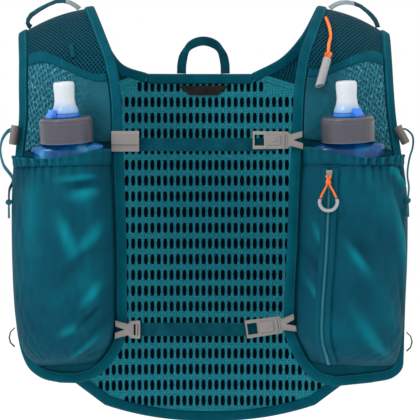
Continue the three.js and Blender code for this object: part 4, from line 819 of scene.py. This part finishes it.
# Flask caps and valves
# The origin of each flask's neck, its turn about Y in degrees, and how far both lean forwards.
FLASK_SEATS = {"left": ((-129.56, -105.66, -129.95), -3), "right": ((126.52, -104.85, -129.11), -2.5)}
FLASK_LEAN = 7

def flask_matrix(which):
    place, turn = FLASK_SEATS[which]
    a, b = math.radians(FLASK_LEAN), math.radians(turn)
    about_x = np.array([[1, 0, 0], [0, math.cos(a), -math.sin(a)], [0, math.sin(a), math.cos(a)]])
    about_y = np.array([[math.cos(b), 0, math.sin(b)], [0, 1, 0], [-math.sin(b), 0, math.cos(b)]])
    return np.array(place), about_y @ about_x


def lathe(name, profile, material, which, segments=96, ripple=None, ring=True):
    """A turned form from [radius, height] points; ripple(radius, height, angle) changes the radius."""
    profile = np.asarray(profile, float)
    angles = np.linspace(0, 2 * np.pi, segments, endpoint=False)
    radius = np.repeat(profile[:, :1], segments, 1)
    height = np.repeat(profile[:, 1:], segments, 1)
    if ripple is not None:
        radius = ripple(radius, height, angles[None])
    local = np.stack([radius * np.cos(angles), radius * np.sin(angles), height], -1).reshape(-1, 3)
    origin, turn = flask_matrix(which)
    uvs = np.stack(np.meshgrid(angles * profile[:, 0].max(), run(profile)), -1).reshape(-1, 2)
    obj = new_object(name, local @ turn.T + origin, ring_quads(len(profile), segments, ring), material, uvs)
    return settled(obj, merge=1e-6, sharp=50)

def cap_ripple(radius, height, angle):
    outside = smooth(radius, 23.2, 24)
    grips = (np.abs(np.sin(angle * 24)) ** 0.6) * smooth(height, 13, 14.5) * (1 - smooth(height, 27.5, 28.5))
    knurl = (0.5 + 0.5 * np.sin(angle * 60)) * smooth(height, 29.5, 30) * (1 - smooth(height, 32, 32.6))
    return radius - outside * (0.2 * (1 - grips) * smooth(height, 12.6, 13.4) * (1 - smooth(height, 28, 29))
                               + 0.5 * knurl)


CAP_PROFILE = ([[23.6, 11.4], [24.3, 11.5], [24.4, 12.4], [24.4, 13]]
               + [[24.4, z] for z in np.linspace(13.6, 28.4, 10)]
               + [[24.4, 29.2], [24.3, 29.8], [24.2, 30.6], [24.0, 31.6], [23.8, 32.4], [23.4, 33.2],
                  [22.6, 34.0], [21.6, 34.25], [14, 34.25], [9.6, 34.25], [9.0, 33.9], [9.0, 31.8],
                  [22.0, 31.6], [22.2, 11.5]])
VALVE_PROFILE = [[0.02, 32], [8.4, 32], [8.5, 37.9], [12.0, 38.0], [12.3, 38.8], [12.1, 40.2], [11.0, 42.6],
                 [9.9, 45.6], [9.3, 49], [9.2, 52], [9.35, 56], [9.6, 60], [9.7, 63], [9.4, 65], [8.6, 66.2],
                 [7.2, 66.45], [5.4, 66.2], [3.4, 65.4], [1.4, 65.0], [0.02, 65.0]]
for which in SIDES:
    cap = lathe(f"cap_shell_{which}", CAP_PROFILE, cap_plastic, which, 240, cap_ripple)
    finished(cap, f"flask_cap_{which}")
    valve = lathe(f"valve_body_{which}", VALVE_PROFILE, valve_clear, which, 72, ring=False)
    finished(valve, f"bite_valve_{which}")


# Cloth
def add_painted_fold_shading(obj, tone):
    """Stores the painted light and shade of each point of a cloth, from painted highlight (1) to painted
    shade (-1).
    """
    layer = obj.data.attributes.new("painted_fold_shading", "FLOAT", "POINT")
    layer.data.foreach_set("value", np.tile(np.clip(tone, -1, 1).ravel(), 2).astype(np.float32))


def sheet_piece(name, surface, u, v, height, thickness, material, node=None,
                tone=None):
    u, v = np.meshgrid(u, v)
    points = surface.raised(u, v, np.broadcast_to(height, u.shape))
    normals = surface.normal(u, v)
    obj = cloth(name, points, normals, thickness, material, length_uvs(points))
    if tone is not None:
        add_painted_fold_shading(obj, tone)
    finished(obj, node)
    return obj


def wrinkles(u, v, seed, strength=1.0):
    """Small smooth unevenness from a few fixed waves."""
    rng = np.random.default_rng(seed)
    total = 0
    for _ in range(9):
        a, b = rng.uniform(3, 14, 2) * rng.choice([-1, 1], 2)
        total = total + rng.uniform(0.04, 0.16) * np.sin(2 * np.pi * (a * u + b * v) + rng.uniform(0, 6))
    return strength * total


for which, (side, _) in SIDES.items():
    strap = sheet_piece(f"strap_pad_{which}", side, np.linspace(0, 1, 33),
                        np.linspace(STRAP_START, STRAP_END, 90), 0, STRAP_CLOTH, mesh_strap,
                        f"shoulder_strap_{which}")
    sheet_piece(f"panel_cloth_{which}", side, np.linspace(0, 1, 33), np.linspace(STRAP_END, 1, 90), 0,
                PANEL_CLOTH, cloth_teal, f"front_panel_{which}")

TURN, GATHERS, SMALL_GATHERS, ELASTIC_PART, CUFF_HEIGHT = 2 * np.pi, 13, 27, (0.32, 0.5), 0.011
# Sharper folds that only the visible cloth has.
MORE_FOLDS = {
    "left": [[0.16, 0.294, 14, 4.5, 1.6, 56], [0.35, 0.285, 11, 4.5, 1.4, -30],
             [0.15, 0.46, 12, 3.5, 1.4, 48],
             [0.17, 0.557, 17, 2.8, -1.3, 42], [0.35, 0.636, 10, 5, 1.2, 60], [0.13, 0.65, 20, 3.5, -0.9, 30],
             [0.21, 0.78, 24, 4, 0.9, 35], [0.07, 0.864, 13, 3.5, -1.3, 45], [0.18, 0.167, 12, 3.5, 1.4, 82],
             [0.23, 0.114, 16, 2.6, 1.1, 86], [0.25, 0.14, 16, 2.6, -1.1, 84], [0.83, 0.14, 20, 9, -0.8, 40],
             [0.65, 0.23, 20, 8, 0.6, 6], [0.3, 0.38, 16, 4, -0.9, 52]],
    "right": [[0.76, 0.09, 26, 4, 1.5, 52], [0.9, 0.12, 22, 4, -1.3, 40], [0.86, 0.32, 34, 4, 1.3, 30],
              [0.94, 0.56, 34, 4, -1.2, 24], [0.6, 0.68, 34, 6, 1.1, 34], [0.08, 0.36, 16, 3, -1.2, 50],
              [0.13, 0.29, 14, 3.5, 1.0, 40], [0.43, 0.355, 12, 3.5, 1.3, 50], [0.45, 0.315, 12, 4, -1.0, 50],
              [0.1, 0.45, 16, 3, 1.0, 45]],
}
for which, (_, pocket) in SIDES.items():
    s = np.linspace(0, 1, 111)
    t = np.concatenate([np.linspace(CUFF_SEAM, 0.2, 30), np.linspace(0.206, 1, 84)])
    S, T = np.meshgrid(s, t)
    seam = np.exp(-(T - CUFF_SEAM) / 0.035)
    gather = (np.sin(TURN * GATHERS * (S + 0.02 * np.sin(9 * S)))
              + 0.5 * np.sin(TURN * SMALL_GATHERS * S + 1.3)) * seam * np.sin(np.pi * S) ** 0.5
    gather = gather * (0.2 + 0.8 * smooth(S, *ELASTIC_PART))
    more = fold_rise(MORE_FOLDS[which], S, T, pocket.wide, pocket.high)
    inside = smooth(np.sin(np.pi * S), 0.1, 0.5) * (1 - smooth(T, 0.86, 0.98))
    height = gather + (2.2 * more + wrinkles(S, T, 5 if which == "left" else 8, 1.3)) * inside - 0.9 * seam
    # Painted light and shade: highlights on the crests of folds and gathers, shade in their valleys, and
    # painted shade under the cuff seam, at the pocket's foot and towards both sides.
    base = fold_rise(LEFT_FOLDS if which == "left" else RIGHT_FOLDS, S, T, pocket.wide, pocket.high)
    tone = (0.08 * base + 0.62 * more + 0.4 * gather - 0.8 * np.exp(-(T - CUFF_SEAM) / 0.008)
            - 0.9 * smooth(T, 0.93, 0.99) - 0.35 * smooth(np.abs(S - 0.5), 0.3, 0.5))
    sheet_piece(f"pocket_body_{which}", pocket, s, t, height, POCKET_CLOTH, cloth_teal,
                f"pocket_{which}", tone=tone)
    rows = np.linspace(0, 1, 14)
    S, R = np.meshgrid(s, rows)
    top = 0.012 + 0.03 * np.sin(np.pi * S) ** 1.3
    T = mix(top, CUFF_SEAM, R)
    frill = (1.7 * np.sin(TURN * GATHERS * S + 1.4 * np.sin(TURN * 2.3 * S)) * (1 - 0.7 * smooth(R, 0, 1))
             + 0.8 * np.sin(TURN * SMALL_GATHERS * S + 2) * (1 - 0.6 * R))
    frill = frill * (0.25 + 0.75 * smooth(S, *ELASTIC_PART))
    height = (frill * np.sin(np.pi * S) ** 0.5 + 1.1 * np.exp(-((R - 0.12) / 0.12) ** 2)
              - 0.9 * smooth(R, 0.6, 1))
    points = pocket.raised(S, T, height)
    cuff = cloth(f"cuff_cloth_{which}", points, pocket.normal(S, T), 1.5, cloth_teal, length_uvs(points))
    # Painted highlight on the crests of the frill and painted shade along its lower edge by the seam.
    add_painted_fold_shading(cuff, 0.3 * frill - 0.5 * smooth(R, 0.8, 1))
    finished(cuff, f"pocket_cuff_{which}")


def stash_surface(side):
    foot = STRAP_CLOTH / 2 + 0.7 + STASH_CLOTH / 2
    inset = BINDING_WIDTH + STRAP_CLOTH / 2

    def place(s, t):
        s, t = spread(s, t)
        top = mix(STASH_TOP_INNER, STASH_TOP_OUTER, smooth(s, 0, 0.9))
        v = mix(top, STASH_END, t)
        u = mix(inset_share(side, 0, v, inset), 1 - inset_share(side, 1, v, inset), s)
        return side.raised(u, v, foot + STASH_BULGE * np.sin(np.pi * s) * np.sin(0.9 * np.pi * t))

    return Surface(place, (0, -1, 0))


STASH_HEM = 0.13
for which, (side, _) in SIDES.items():
    stash = stash_surface(side)
    s = np.linspace(0, 1, 61)
    S, T = np.meshgrid(s, np.linspace(0, STASH_HEM, 11))
    roll = 0.3 + 0.5 * np.sin(np.pi * T / STASH_HEM) ** 0.4 + 0.25 * np.sin(2 * np.pi * 9 * S)
    hem = sheet_piece(f"stash_edge_{which}", stash, s, np.linspace(0, STASH_HEM, 11), roll, 1.5, tape_teal,
                      f"stash_hem_{which}")
    S, T = np.meshgrid(s, np.linspace(STASH_HEM, 1, 70))
    crease = (1.6 * np.exp(-((S - 0.2 - 0.16 * T) / 0.05) ** 2)
              - 1.2 * np.exp(-((S - 0.32 - 0.1 * T) / 0.04) ** 2))
    waves = (wrinkles(S, T, 3, 1.2) + crease * smooth(T, 0.05, 0.3)) * np.sin(np.pi * S)
    sheet_piece(f"stash_cloth_{which}", stash, s, np.linspace(STASH_HEM, 1, 70), waves, STASH_CLOTH,
                mesh_glitter, f"stash_pocket_{which}")

# Back: knitted outer face, a lining coloured near-black as painted shade for the holes, and a pierced inner
# face.
back_outer = sheet_piece("back_outer", back, np.linspace(0, 1, 81), np.linspace(BACK_TOP, 1, 91), 1.2, 1.6,
                         cloth_teal, "back_panel")
sheet_piece("back_lining", back, np.linspace(0, 1, 61), np.linspace(BACK_TOP, 1, 61), -0.6, 0.8,
            dark_backing, None)

PITCH_ACROSS, PITCH_DOWN, HOLE_WIDE, HOLE_HIGH, PIERCED = 6.3, 15.4, 4.3, 10.9, 0.8
HOLE_CORNERS, HOLE_ROWS, FIRST_ROW, FACE_RISE, LIP, FACE_MARGIN = 16, 26, -44, 2.0, 0.25, 1
reach_x = np.linspace(-BACK_HALF_WIDTH, BACK_HALF_WIDTH, 341)
reach_v = np.linspace(BACK_TOP, 1, 401)
wide_at = back_curve(reach_v)[:, 0] * BACK_HALF_WIDTH
shares = np.clip(reach_x[None] / wide_at[:, None] * 0.5 + 0.5, 0, 1)
level_z = back_place(shares, np.repeat(reach_v[:, None], len(reach_x), 1))[..., 2]
covered = np.abs(reach_x)[None] <= wide_at[:, None]
low_z = np.where(covered, level_z, 1e3).min(0)
high_z = np.where(covered, level_z, -1e3).max(0)
low_z = np.where(low_z > 900, -200.0, low_z)
high_z = np.where(high_z < -900, -200.0, high_z)


def on_back(x, z, depth):
    slope = (back_plane(x + 0.5) - back_plane(x - 0.5))
    size = np.sqrt(1 + slope ** 2)
    return np.stack([x + slope / size * depth, back_plane(x) - depth / size, z], -1)


corner_angles = np.linspace(0, 2 * np.pi, HOLE_CORNERS, endpoint=False)
cosine, sine = np.cos(corner_angles), np.sin(corner_angles)
square = np.maximum(np.abs(cosine), np.abs(sine))
box_x, box_z = cosine / square * PITCH_ACROSS / 2, sine / square * PITCH_DOWN / 2
hole_x = np.sign(cosine) * np.abs(cosine) ** 0.9 * HOLE_WIDE / 2
hole_z = np.sign(sine) * np.abs(sine) ** 0.9 * HOLE_HIGH / 2
verts, faces, count = [], [], 0
columns = int(BACK_HALF_WIDTH // PITCH_ACROSS)
for j in range(-columns, columns + 1):
    cx = j * PITCH_ACROSS
    for k in range(HOLE_ROWS):
        cz = FIRST_ROW - k * PITCH_DOWN
        xs = np.clip(cx + box_x, -BACK_HALF_WIDTH + FACE_MARGIN, BACK_HALF_WIDTH - FACE_MARGIN)
        low = np.interp(xs, reach_x, low_z) + FACE_MARGIN
        high = np.interp(xs, reach_x, high_z) - FACE_MARGIN
        zs = np.clip(cz + box_z, low, np.maximum(low, high))
        if zs.max() - zs.min() < 0.8:
            continue
        whole = (cz - HOLE_HIGH / 2 > low.max()) and (cz + HOLE_HIGH / 2 < high.min())
        front = on_back(xs, zs, FACE_RISE)
        if not whole:
            verts.append(front)
            faces.append(list(range(count, count + HOLE_CORNERS)))
            count += HOLE_CORNERS
            continue
        rim = on_back(cx + hole_x, cz + hole_z, FACE_RISE)
        lip = on_back(cx + hole_x * 0.97, cz + hole_z * 0.98, FACE_RISE - LIP)
        deep = on_back(cx + hole_x * 0.97, cz + hole_z * 0.98, FACE_RISE - PIERCED)
        verts.extend([front, rim, lip, deep])
        faces.extend((ring_quads(4, HOLE_CORNERS, False) + count).tolist())
        count += 4 * HOLE_CORNERS
verts = np.vstack(verts)
pierced = new_object("back_pierced_face", verts, faces, mesh_back, verts[:, [0, 2]])
finished(settled(pierced, merge=2e-5, sharp=35))

# Side wings, from the back's edges to the panels' outer edges.
WING_ON_BACK, WING_ON_SIDE, WING_ENDS = (0.36, 0.7), (8.1, 10.3), (0.014, 0.985)
WING_BOW, WING_CLOTH, WING_LENGTH = 3, 1.6, 0.1
for which, (side, _) in SIDES.items():
    r = np.linspace(0, 1, 30)
    end = 0.0 if which == "left" else 1.0
    edge_back = back.place(np.full(30, end), mix(*WING_ON_BACK, r))
    edge_side = side.place(np.ones(30), row(mix(*WING_ON_SIDE, r)))
    w = np.linspace(*WING_ENDS, 26)[None, :, None]
    points = mix(edge_back[:, None], edge_side[:, None], w)
    points[..., 0] += side.hand * WING_BOW * np.sin(np.pi * w[..., 0])
    normals = unit(np.cross(np.gradient(points, axis=1), np.gradient(points, axis=0)))
    obj = cloth(f"wing_cloth_{which}", points, normals, WING_CLOTH, cloth_teal, length_uvs(points))
    finished(obj, f"side_wing_{which}")


# Bindings
def binding(name, legs, half, node, centre):
    """Folded tape round an edge: legs are (surface, u values, v values) in order along the edge."""
    path = np.vstack([surface.place(u, v) for surface, u, v in legs])
    out = np.vstack([surface.normal(u, v) for surface, u, v in legs])
    keep = np.concatenate([[True], np.linalg.norm(np.diff(path, axis=0), axis=1) > 0.05])
    path, out = path[keep], out[keep]
    side_way, out = frames_of(path, out)
    middle = len(path) // 2
    if np.dot(side_way[middle], np.asarray(centre, float) - path[middle]) < 0:
        side_way = -side_way
    high = half + TAPE_RISE
    face = [[BINDING_WIDTH, half + 0.3], [7.7, high - 0.75], [7.0, high - 0.3], [5.6, high - 0.05],
            [3.4, high], [1.0, high - 0.05], [-0.6, high - 0.5], [-1.4, high - 1.4]]
    section = face + [[-1.82, 0]] + [[a, -b] for a, b in face[::-1]]
    return finished(sweep(name, path, side_way, out, section, tape_teal, 60), node)

for which, (side, _) in SIDES.items():
    down = np.linspace(STRAP_START, 1, 260)
    up = np.linspace(1, row(7.93), 110)
    zero, one = np.zeros_like(down), np.ones_like(up)
    across = np.linspace(0.03, 0.97, 16)
    middle = side.place(0.5, row(10))
    binding(f"inner_tape_{which}", [(side, zero, down), (side, across, np.ones(16)), (side, one, up)],
            STRAP_CLOTH / 2, f"inner_binding_{which}", middle)
    outer_down = np.linspace(STRAP_START, row(7.88), 150)
    binding(f"outer_tape_{which}", [(side, np.ones(150), outer_down)], STRAP_CLOTH / 2,
            f"outer_binding_{which}", side.place(0.5, row(4)))

neck_x = np.linspace(-0.336 * FRONT_HALF_WIDTH, 0.232 * FRONT_HALF_WIDTH, 80)
neck_wide = float(back_curve(np.float64(BACK_TOP))[0]) * BACK_HALF_WIDTH
neck_u = neck_x / neck_wide * 0.5 + 0.5
binding("neck_tape", [(back, neck_u, np.full(80, BACK_TOP))], BACK_CLOTH / 2, "neck_binding",
        back.place(0.5, 0.5))
hem_down = np.linspace(0.02, 1, 90)
binding("hem_tape", [(back, np.zeros(90), hem_down), (back, np.linspace(0.01, 0.99, 120), np.ones(120)),
                     (back, np.ones(90), hem_down[::-1])],
        BACK_CLOTH / 2, "hem_binding", back.place(0.5, 0.5))

# Seams between the back and the shoulder straps, and the haul loop.
for which, (side, _) in SIDES.items():
    share = np.linspace(0.02, 0.98, 40)
    path = side.place(share, np.full(40, STRAP_START))
    side_way, out = frames_of(path, -side.normal(share, np.full(40, 0.02)))
    section = [[-4, -1.4], [-3.4, -2.3], [3.4, -2.3], [4, -1.4], [4, 1.4], [3.4, 2.3], [-3.4, 2.3], [-4, 1.4]]
    seam_strip = sweep(f"crest_seam_{which}", path, side_way, out, section, mesh_back)
    finished(seam_strip)

HAUL_ARCH = [[-0.5, 0], [-0.49, 0.3], [-0.43, 0.62], [-0.28, 0.88], [0, 1],
             [0.28, 0.88], [0.43, 0.62], [0.49, 0.3], [0.5, 0]]
HAUL_CENTRE, HAUL_SPAN, HAUL_RISE = -6.5, 43, 32
haul_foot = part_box("haul_loop")[0][2] / MM
arch = Curve([[HAUL_CENTRE + a * HAUL_SPAN, BACK_DEPTH, haul_foot + b * HAUL_RISE] for a, b in HAUL_ARCH])
haul_share = np.linspace(0, 1, 90)
haul_path = arch(haul_share)
# The band turns a little at both shoulders of the arch, as a soft ribbon does.
turn = 0.75 * (np.exp(-((haul_share - 0.3) / 0.09) ** 2) - np.exp(-((haul_share - 0.7) / 0.09) ** 2))
haul_side, haul_out = frames_of(haul_path, np.repeat([[0.0, -1.0, 0.0]], 90, 0))
twisted_side = haul_side * np.cos(turn)[:, None] + haul_out * np.sin(turn)[:, None]
twisted_out = haul_out * np.cos(turn)[:, None] - haul_side * np.sin(turn)[:, None]
band = [[-4.5, 0], [-4.3, 0.5], [-3.6, 0.7], [3.6, 0.7], [4.3, 0.5], [4.5, 0], [4.3, -0.5], [3.6, -0.7],
        [-3.6, -0.7], [-4.3, -0.5]]
haul = sweep("haul_ribbon", haul_path, twisted_side, twisted_out, band, webbing_teal)
finished(haul, "haul_loop")


# Raised plates and ribs on the clasps.
def plates(name, boxes, origin, degrees):
    """Rounded plates [x, z, half length, half height, rise] standing on a fitting's front face."""
    bm = bmesh.new()
    for x, z, half_long, half_high, rise in boxes:
        made = bmesh.ops.create_cube(bm, size=2)
        for vert in made["verts"]:
            p = vert.co
            taper = 0.86 if p.y < 0 else 1.0
            vert.co = Vector((x + p.x * half_long * taper, p.y * rise, z + p.z * half_high * taper))
    bmesh.ops.bevel(bm, geom=list(bm.edges), offset=0.3, segments=2, profile=0.6, affect="EDGES",
                    clamp_overlap=True)
    points = turned_about_y([v.co[:] for v in bm.verts], degrees) + np.asarray(origin, float)
    for vert, point in zip(bm.verts, points):
        vert.co = Vector(point * MM)
    return finished(from_bmesh(name, bm, grey_plastic, 40))


CLASP_PLATES = [[19.5, 0, 6.5, 5.2, 1.3], [19, 0, 3.6, 1.4, 2.0], [28.2, 0, 1.0, 6.9, 1.5],
                [30.8, 0, 0.7, 6.6, 1.2], [13.2, 0, 0.8, 7.4, 1.0]]
HOOK_PLATES = [[-3.2, 0, 1.0, 6.2, 1.2], [-7.2, 0, 1.0, 5.0, 0.9]]
PLATE_SEAT, LOWER_CLASP_START, LOWER_CLASP_LEVEL, LOWER_CLASP_TILT = 0.2, 1.15, -290, -8
upper, lower, hook = (np.array(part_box(node)) / MM for node in ("upper_clasp", "lower_clasp", "lower_hook"))
plates("upper_clasp_relief", CLASP_PLATES, (upper[0, 0], upper[0, 1] + PLATE_SEAT, upper[:, 2].mean()), 0)
plates("lower_clasp_relief", CLASP_PLATES,
       (lower[0, 0] + LOWER_CLASP_START, lower[0, 1] + PLATE_SEAT, LOWER_CLASP_LEVEL), LOWER_CLASP_TILT)
plates("lower_hook_relief", HOOK_PLATES, (hook[1, 0], hook[0, 1] + PLATE_SEAT, hook[:, 2].mean()), 0)

# Zip
ZIP_START, ZIP_END, TOOTH_PITCH, FIRST_TOOTH = 0.082, 0.93, 0.95, 8
TOOTH_OFFSET, TOOTH_RISE, TOOTH_HALF = 0.55, 3.3, (1.15, 0.5, 0.34)
zip_t = np.linspace(ZIP_START, ZIP_END, 120)
zip_s = mix(0.2, 0.17, (zip_t - ZIP_START) / (ZIP_END - ZIP_START))
zip_path, zip_out = right_pocket.place(zip_s, zip_t), right_pocket.normal(zip_s, zip_t)
zip_side, zip_out = frames_of(zip_path, zip_out)
if zip_side[60][0] < 0:
    zip_side = -zip_side
for edge, sign in (("left", -1), ("right", 1)):
    section = np.array([[2.1, 1.9], [2.1, 2.8], [2.6, 3.1], [6.6, 3.0], [7.5, 2.3], [7.5, 1.3]])
    section[:, 0] *= sign
    flap = sweep(f"zip_flap_{edge}", zip_path, zip_side, zip_out, section, cloth_teal)
    finished(flap, "zip_tape" if sign < 0 else None)
verts, faces = [], []
box = np.array([[x, y, z] for x in (-1, 1) for y in (-1, 1) for z in (-1, 1)], float)
box_faces = [[0, 1, 3, 2], [4, 6, 7, 5], [0, 4, 5, 1], [2, 3, 7, 6], [0, 2, 6, 4], [1, 5, 7, 3]]
along_zip = run(zip_path)
for k, distance in enumerate(np.arange(along_zip[FIRST_TOOTH], along_zip[-1], TOOTH_PITCH)):
    here = np.array([np.interp(distance, along_zip, zip_path[:, c]) for c in range(3)])
    spot = min(int(np.searchsorted(along_zip, distance)), len(zip_path) - 1)
    sideways, outward = zip_side[spot], zip_out[spot]
    ahead = np.cross(sideways, outward)
    offset = TOOTH_OFFSET if k % 2 else -TOOTH_OFFSET
    tooth = (here + sideways * (offset + box[:, :1] * TOOTH_HALF[0])
             + outward * (TOOTH_RISE + box[:, 1:2] * TOOTH_HALF[1]) + ahead * (box[:, 2:] * TOOTH_HALF[2]))
    faces.extend([[f + len(verts) * 8 for f in face] for face in box_faces])
    verts.append(tooth)
coil = new_object("zip_teeth", np.vstack(verts), faces, coil_plastic, np.vstack(verts)[:, [0, 2]])
coil.modifiers.new("Bevel", "BEVEL").width = 0.15 * MM
finished(coil, "zip_coil")

# Stage and light
FLOOR_LEVEL, FLOOR_REACH = -560.0, 9000
R, A = np.meshgrid(np.geomspace(1, FLOOR_REACH, 8), np.linspace(0, 2 * np.pi, 65), indexing="ij")
stage_verts = np.stack([R * np.cos(A), R * np.sin(A), np.full(R.shape, FLOOR_LEVEL)], -1).reshape(-1, 3)
stage_faces = np.vstack([grid_faces(8, 65), [[0, 16, 32, 48]]])
floor_material = Shader("pale_floor", roughness=0.9, emission_color=(1, 1, 1, 1), emission_strength=0.1)
floor_tone = floor_material.noise(floor_material.place(), 3, 2)
floor_material.colour(floor_material.ramp(floor_tone, [(0.3, (0.9, 0.9, 0.9)), (0.7, (0.94, 0.94, 0.94))]))
stage = new_object("stage_floor", stage_verts, stage_faces, floor_material.material)


def area_light(name, place, target, size, power):
    light = bpy.data.lights.new(name, "AREA")
    light.shape = "RECTANGLE"
    light.size, light.size_y = size
    light.energy = power
    obj = linked(name, light)
    obj.location = place
    obj.rotation_euler = (Vector(target) - Vector(place)).to_track_quat("-Z", "Y").to_euler()


area_light("key_light", (-1.5, -1.5, 1.2), (0, 0, -0.18), (0.6, 0.6), 20)
area_light("fill_light", (1.7, -1.6, 0.4), (0, 0, -0.2), (1.6, 1.6), 3)
area_light("top_light", (0, -0.1, 1.9), (0, 0, -0.2), (1.6, 1.2), 5)
world = bpy.data.worlds.new("studio")
world.use_nodes = True
world.node_tree.nodes["Background"].inputs[0].default_value = (1, 1, 1, 1)
world.node_tree.nodes["Background"].inputs[1].default_value = 1.0
bpy.context.scene.world = world
bpy.context.scene.view_settings.view_transform = "Standard"
